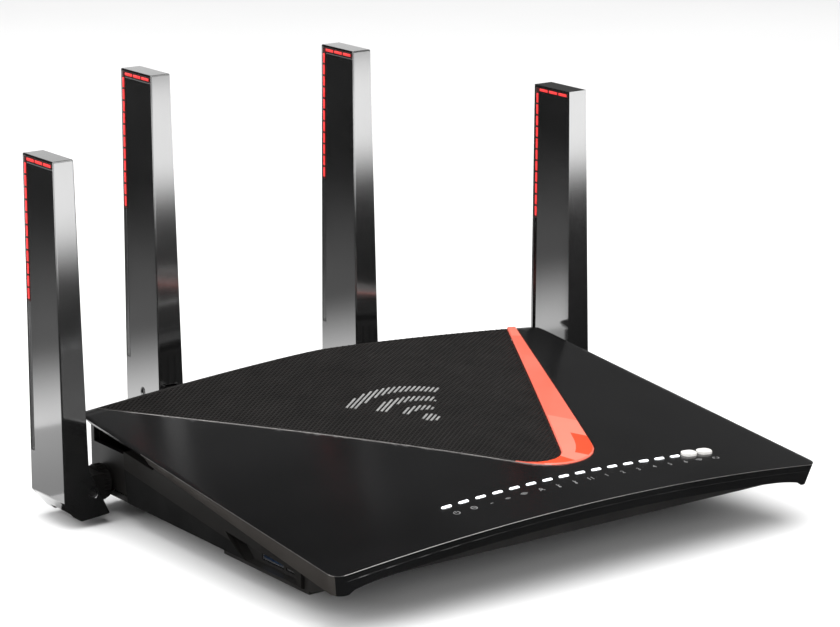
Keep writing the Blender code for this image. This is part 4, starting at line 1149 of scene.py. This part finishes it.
def make_underside():
    """Two rows of vent bars and a blank plate under the floor, and dark crosses on the screw heads as
    painted shade for their cross drives.
    """
    bm = bmesh.new()
    for k in range(26):
        for y in (8 * MM, 34 * MM):
            add_floor_block(bm, (k - 12.5) * 4.4 * MM, y, 1.1 * MM, 10 * MM, 0.35 * MM, 0.3 * MM)
    add_floor_block(bm, 0.0, 67 * MM, 34 * MM, 11 * MM, 0.3 * MM, 0.25 * MM)
    piece("underside_ribs", bm, "case", LOOKS["satin_black"])
    # The drives are dark crosses standing a hair proud of each head: painted shade, not recesses.
    drive = bmesh.new()
    for k in range(1, 5):
        middle = middle_of(f"case_screw_{k}")
        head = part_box(f"case_screw_{k}")[0].z
        for half_x, half_y, proud in ((1.7 * MM, 0.3 * MM, 0.06 * MM), (0.3 * MM, 1.7 * MM, 0.07 * MM)):
            add_box(
                drive,
                (middle.x - half_x, middle.y - half_y, head - proud),
                (middle.x + half_x, middle.y + half_y, head + 0.1 * MM),
            )
    piece("screw_drive_painted_shade", drive, "case", BLACK_AND_PAINTED_SHADE)


STUD_WALL = 101.0 * MM
STUD_PITCH = 2.1 * MM
STUD_ROW = 1.5 * MM
STUD_HALF = (0.3 * MM, 0.7 * MM, 0.45 * MM)


def make_side_vents():
    """A strip of small studs in the recess under the cover's rear sides, one row above another."""
    for name, side in (("side_vent_left", -1), ("side_vent_right", 1)):
        bm = bmesh.new()
        for k in range(22):
            y = SKIRT_STEP_Y + 4 * MM + k * STUD_PITCH
            for row in range(2):
                z = deck(HALF_WIDTH, y) - 4.6 * MM - row * STUD_ROW
                middle = Vector((CASE_X + side * STUD_WALL, CASE_Y + y, z))
                stud = add_box(bm, middle - Vector(STUD_HALF), middle + Vector(STUD_HALF))
                ease(bm, stud, 0.12 * MM, 1)
        # The studs share the skirt's lighter colour, which is painted light.
        piece(name, bm, "case", SKIRT_PAINTED_LIGHT)


RELIEF_ROWS = 40
RELIEF_FRONT = -54 * MM
RELIEF_BACK = 66 * MM  # ahead of the left blade where it lies level
RELIEF_FACE = -105.4 * MM
RELIEF_FOOT = (-104.1 * MM, 10.1 * MM)
RELIEF_INNER = -103.4 * MM
RELIEF_INNER_BEHIND = -100.4 * MM
CREASE_START = 10.6 * MM
CREASE_SLOPE = 0.11

# The hollow round the USB sockets, as (y, z) corners
USB_RECESS = (
    (-5.0 * MM, 18.4 * MM),
    (-49.5 * MM, 15.4 * MM),
    (-52.5 * MM, 9.6 * MM),
    (-16.0 * MM, 9.9 * MM),
)
RECESS_REACH = (-120 * MM, 30 * MM)


def relief_section(y):
    """The relief's outline across the case, as (x, z) corners."""
    behind = y > SKIRT_STEP_Y
    inner = RELIEF_INNER_BEHIND if behind else RELIEF_INNER
    top = deck(HALF_WIDTH, y) - (8.2 * MM if behind else skirt_height(y) + 1.9 * MM)
    crease = min(CREASE_START + (y - RELIEF_FRONT) * CREASE_SLOPE, top - 1.0 * MM)
    return ((inner, top), (RELIEF_FACE, top), (RELIEF_FACE, crease), RELIEF_FOOT, (inner, RELIEF_FOOT[1]))


def usb_recess_tool():
    bm = bmesh.new()
    x = CASE_X + RECESS_REACH[0]
    face = bm.faces.new([bm.verts.new((x, CASE_Y + y, z)) for y, z in USB_RECESS])
    extruded = bmesh.ops.extrude_face_region(bm, geom=[face])
    for item in extruded["geom"]:
        if isinstance(item, bmesh.types.BMVert):
            item.co.x += RECESS_REACH[1]
    bmesh.ops.recalc_face_normals(bm, faces=bm.faces)
    return tool(bm)


def make_side_relief():
    """The left wall's raised upper band, creased along a line that falls to the front."""
    bm = bmesh.new()
    rings = []
    for k in range(RELIEF_ROWS + 1):
        y = RELIEF_FRONT + (RELIEF_BACK - RELIEF_FRONT) * k / RELIEF_ROWS
        rings.append([bm.verts.new((CASE_X + x, CASE_Y + y, z)) for x, z in relief_section(y)])
    for first, second in zip(rings, rings[1:]):
        for i in range(len(first)):
            j = (i + 1) % len(first)
            face = bm.faces.new((first[i], first[j], second[j], second[i]))
            # The face below the crease, which leans down, takes the darker second material: painted shade.
            face.material_index = 1 if i == 2 else 0
    bm.faces.new(rings[0])
    bm.faces.new(rings[-1][::-1])
    relief = piece("side_relief", bm, "case", [SIDE_SATIN, BLACK_AND_PAINTED_SHADE], 25.0)
    cutter = usb_recess_tool()
    cut(relief, cutter, "recess")
    apply_modifiers(relief, cutter)
    relief.data.shade_smooth()
    relief.data.set_sharp_from_angle(angle=math.radians(20))


PIN_CAP_RADIUS = 1.25 * MM
PIN_CAP_TOP = 1.0 * MM
PIN_CAP_RISE = 0.2 * MM
KNURL_RIDGES = 28
RIDGE_RADIUS = 0.30 * MM
RIDGE_START = 0.6 * MM
REAR_KNURL = (6.2 * MM, 5.2 * MM)  # radius of the ring, then where its ridges end
SIDE_KNURL = (6.8 * MM, 3.6 * MM)


def make_pin_caps(tag):
    """A low cap over each end of the tilt pin."""
    low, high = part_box(f"{tag}_tilt_pin")
    axis = 1 if high.y - low.y > high.x - low.x else 0
    bm = bmesh.new()
    for end, out in ((low, -1), (high, 1)):
        start = middle_of(f"{tag}_tilt_pin")
        start[axis] = end[axis]
        rise = Vector((0.0, 0.0, 0.0))
        rise[axis] = out * PIN_CAP_RISE
        add_rod(bm, start, start + rise, PIN_CAP_RADIUS, 20, PIN_CAP_TOP)
    piece(f"{tag}_pin_caps", bm, f"{tag}_base", LOOKS["satin_black"])


def make_knurl(tag):
    """Ridges round the swivel's collar, along its axis: Y on the rear antennas, X on the side ones."""
    centre = middle_of(f"{tag}_jack")
    low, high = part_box(f"{tag}_swivel")
    rear = tag.startswith("rear")
    axis = 1 if rear else 0
    out = 1 if rear else SIDES[tag]
    radius, reach = REAR_KNURL if rear else SIDE_KNURL
    foot = (low if out > 0 else high)[axis]
    bm = bmesh.new()
    for k in range(KNURL_RIDGES):
        angle = 2 * math.pi * k / KNURL_RIDGES
        start = centre.copy()
        start[1 - axis] += radius * math.cos(angle)
        start.z += radius * math.sin(angle)
        start[axis] = foot + out * RIDGE_START
        end = start.copy()
        end[axis] = foot + out * reach
        add_rod(bm, start, end, RIDGE_RADIUS, 6)
    piece(f"{tag}_knurl", bm, f"{tag}_base", LOOKS["satin_black"])


# -------------------- studio

CAMERA_PLACE = (-0.6682, -0.9286, 0.3715)
CAMERA_YAW = math.radians(36.05)
CAMERA_PITCH = math.radians(14.51)
CAMERA_LENS = 131.3


def make_camera():
    bpy.context.scene.view_settings.view_transform = "Standard"
    data = bpy.data.cameras.new("view")
    data.lens = CAMERA_LENS
    data.sensor_width = 36.0
    data.clip_start = 0.05
    data.clip_end = 50.0
    camera = new_object("view", data)
    camera.location = CAMERA_PLACE
    camera.rotation_euler = (math.pi / 2 - CAMERA_PITCH, 0.0, -CAMERA_YAW)
    bpy.context.scene.camera = camera


def area_light(name, place, target, size, power):
    data = bpy.data.lights.new(name, "AREA")
    data.shape = "RECTANGLE"
    data.size, data.size_y = size
    data.energy = power
    light = new_object(name, data)
    light.location = place
    light.rotation_euler = (Vector(target) - light.location).to_track_quat("-Z", "Y").to_euler()


def card(name, corners, low, high):
    """A reflector that only shows in gloss: its light runs from low at its foot to high at its head."""
    mesh = bpy.data.meshes.new(name)
    mesh.from_pydata(corners, [], [(0, 1, 2, 3)])
    layer = mesh.uv_layers.new(name="UVMap")
    for loop, uv in zip(layer.data, ((0, 0), (1, 0), (1, 1), (0, 1))):
        loop.uv = uv
    material = bpy.data.materials.new(name)
    material.use_nodes = True
    tree = material.node_tree
    tree.nodes.clear()
    coords = tree.nodes.new("ShaderNodeTexCoord")
    split = tree.nodes.new("ShaderNodeSeparateXYZ")
    remap = tree.nodes.new("ShaderNodeMapRange")
    remap.interpolation_type = "SMOOTHSTEP"
    remap.inputs["To Min"].default_value = low
    remap.inputs["To Max"].default_value = high
    glow = tree.nodes.new("ShaderNodeEmission")
    out = tree.nodes.new("ShaderNodeOutputMaterial")
    tree.links.new(coords.outputs["UV"], split.inputs["Vector"])
    tree.links.new(split.outputs["Y"], remap.inputs["Value"])
    tree.links.new(remap.outputs["Result"], glow.inputs["Strength"])
    tree.links.new(glow.outputs["Emission"], out.inputs["Surface"])
    mesh.materials.append(material)
    obj = new_object(name, mesh)
    obj.visible_camera = False
    obj.visible_diffuse = False
    obj.visible_shadow = False
    obj.visible_transmission = False


FLOOR_HALF = 9.0
WORLD_STRENGTH = 0.45
BEHIND_ACROSS, BEHIND_Y = (-0.6, 0.5), 0.165
DECK_ACROSS, DECK_Y = (-0.5, 0.34), 0.45
FRONT_ACROSS = (-0.5, 0.9)


def upright(name, across, y, rise, low, high):
    """A standing reflector that faces the front."""
    (left, right), (foot, head) = across, rise
    card(name, [(left, y, foot), (right, y, foot), (right, y, head), (left, y, head)], low, high)


def flat(name, across, z, reach, near, far):
    """A reflector lying on the floor."""
    (left, right), (start, end) = across, reach
    card(name, [(left, start, z), (right, start, z), (right, end, z), (left, end, z)], near, far)


def make_floor():
    bm = bmesh.new()
    bmesh.ops.create_grid(bm, x_segments=1, y_segments=1, size=FLOOR_HALF)
    floor = new_object("floor", mesh_of("floor", bm))
    paper = Surface("pale_floor")
    paper.colour((0.80, 0.80, 0.80), (0.82, 0.82, 0.82), 4)
    paper.gloss(0.7, 0.8, 10)
    floor.data.materials.append(paper.material)


def make_world():
    world = bpy.data.worlds.new("studio")
    world.use_nodes = True
    background = world.node_tree.nodes["Background"]
    background.inputs["Color"].default_value = (1.0, 1.0, 1.0, 1.0)
    background.inputs["Strength"].default_value = WORLD_STRENGTH
    bpy.context.scene.world = world


def make_reflectors():
    """Cards behind the antennas, on the floor in front and behind the deck, seen only in the gloss."""
    upright("behind_low", BEHIND_ACROSS, BEHIND_Y, (0.001, 0.040), 2.2, 0.30)
    upright("behind_high", BEHIND_ACROSS, BEHIND_Y, (0.040, 0.100), 0.30, 0.04)
    flat("behind_foot", BEHIND_ACROSS, 0.002, (0.08, BEHIND_Y), 0.8, 1.1)
    flat("behind_floor", (-1.6, 0.3), 0.003, (0.17, 1.30), 0.03, 0.03)
    flat("front_flag", FRONT_ACROSS, 0.002, (0.06, -0.33), 0.01, 0.05)
    flat("front_card", FRONT_ACROSS, 0.002, (-0.33, -0.46), 0.10, 5.0)
    flat("front_far", FRONT_ACROSS, 0.002, (-0.46, -0.75), 5.0, 5.0)
    upright("deck_card", DECK_ACROSS, DECK_Y, (0.13, 0.36), 1.3, 0.0)
    upright("deck_flag", DECK_ACROSS, DECK_Y, (0.36, 1.10), 0.0, 0.0)
    upright("deck_side", (0.34, 1.60), DECK_Y, (0.05, 1.10), 0.10, 0.0)


def make_studio():
    make_floor()
    make_world()
    area_light("overhead", (-0.2, -0.3, 1.7), (0, 0, 0), (2.2, 2.2), 60)
    area_light("left_wall", (-1.5, 0.2, 0.9), (0, 0, 0.05), (1.2, 1.0), 14)
    area_light("front_fill", (0.5, -1.8, 0.9), (0, 0, 0.05), (1.4, 0.9), 12)
    make_reflectors()


make_camera()
paint_frame()
make_mesh_panel()
make_panel_mark()
make_accent()
make_cover()
for tag in SIDES:
    make_dashes(tag)
make_edge_beads()
make_light_labels()
make_usb_tongues()
make_jack_details()
make_rear_vents()
make_underside()
make_side_vents()
make_side_relief()
make_lenses()
for tag in SIDES:
    make_pin_caps(tag)
    make_knurl(tag)
for name in NODES:
    if name.endswith("_blade"):
        soften(name, 0.55 * MM)
make_studio()
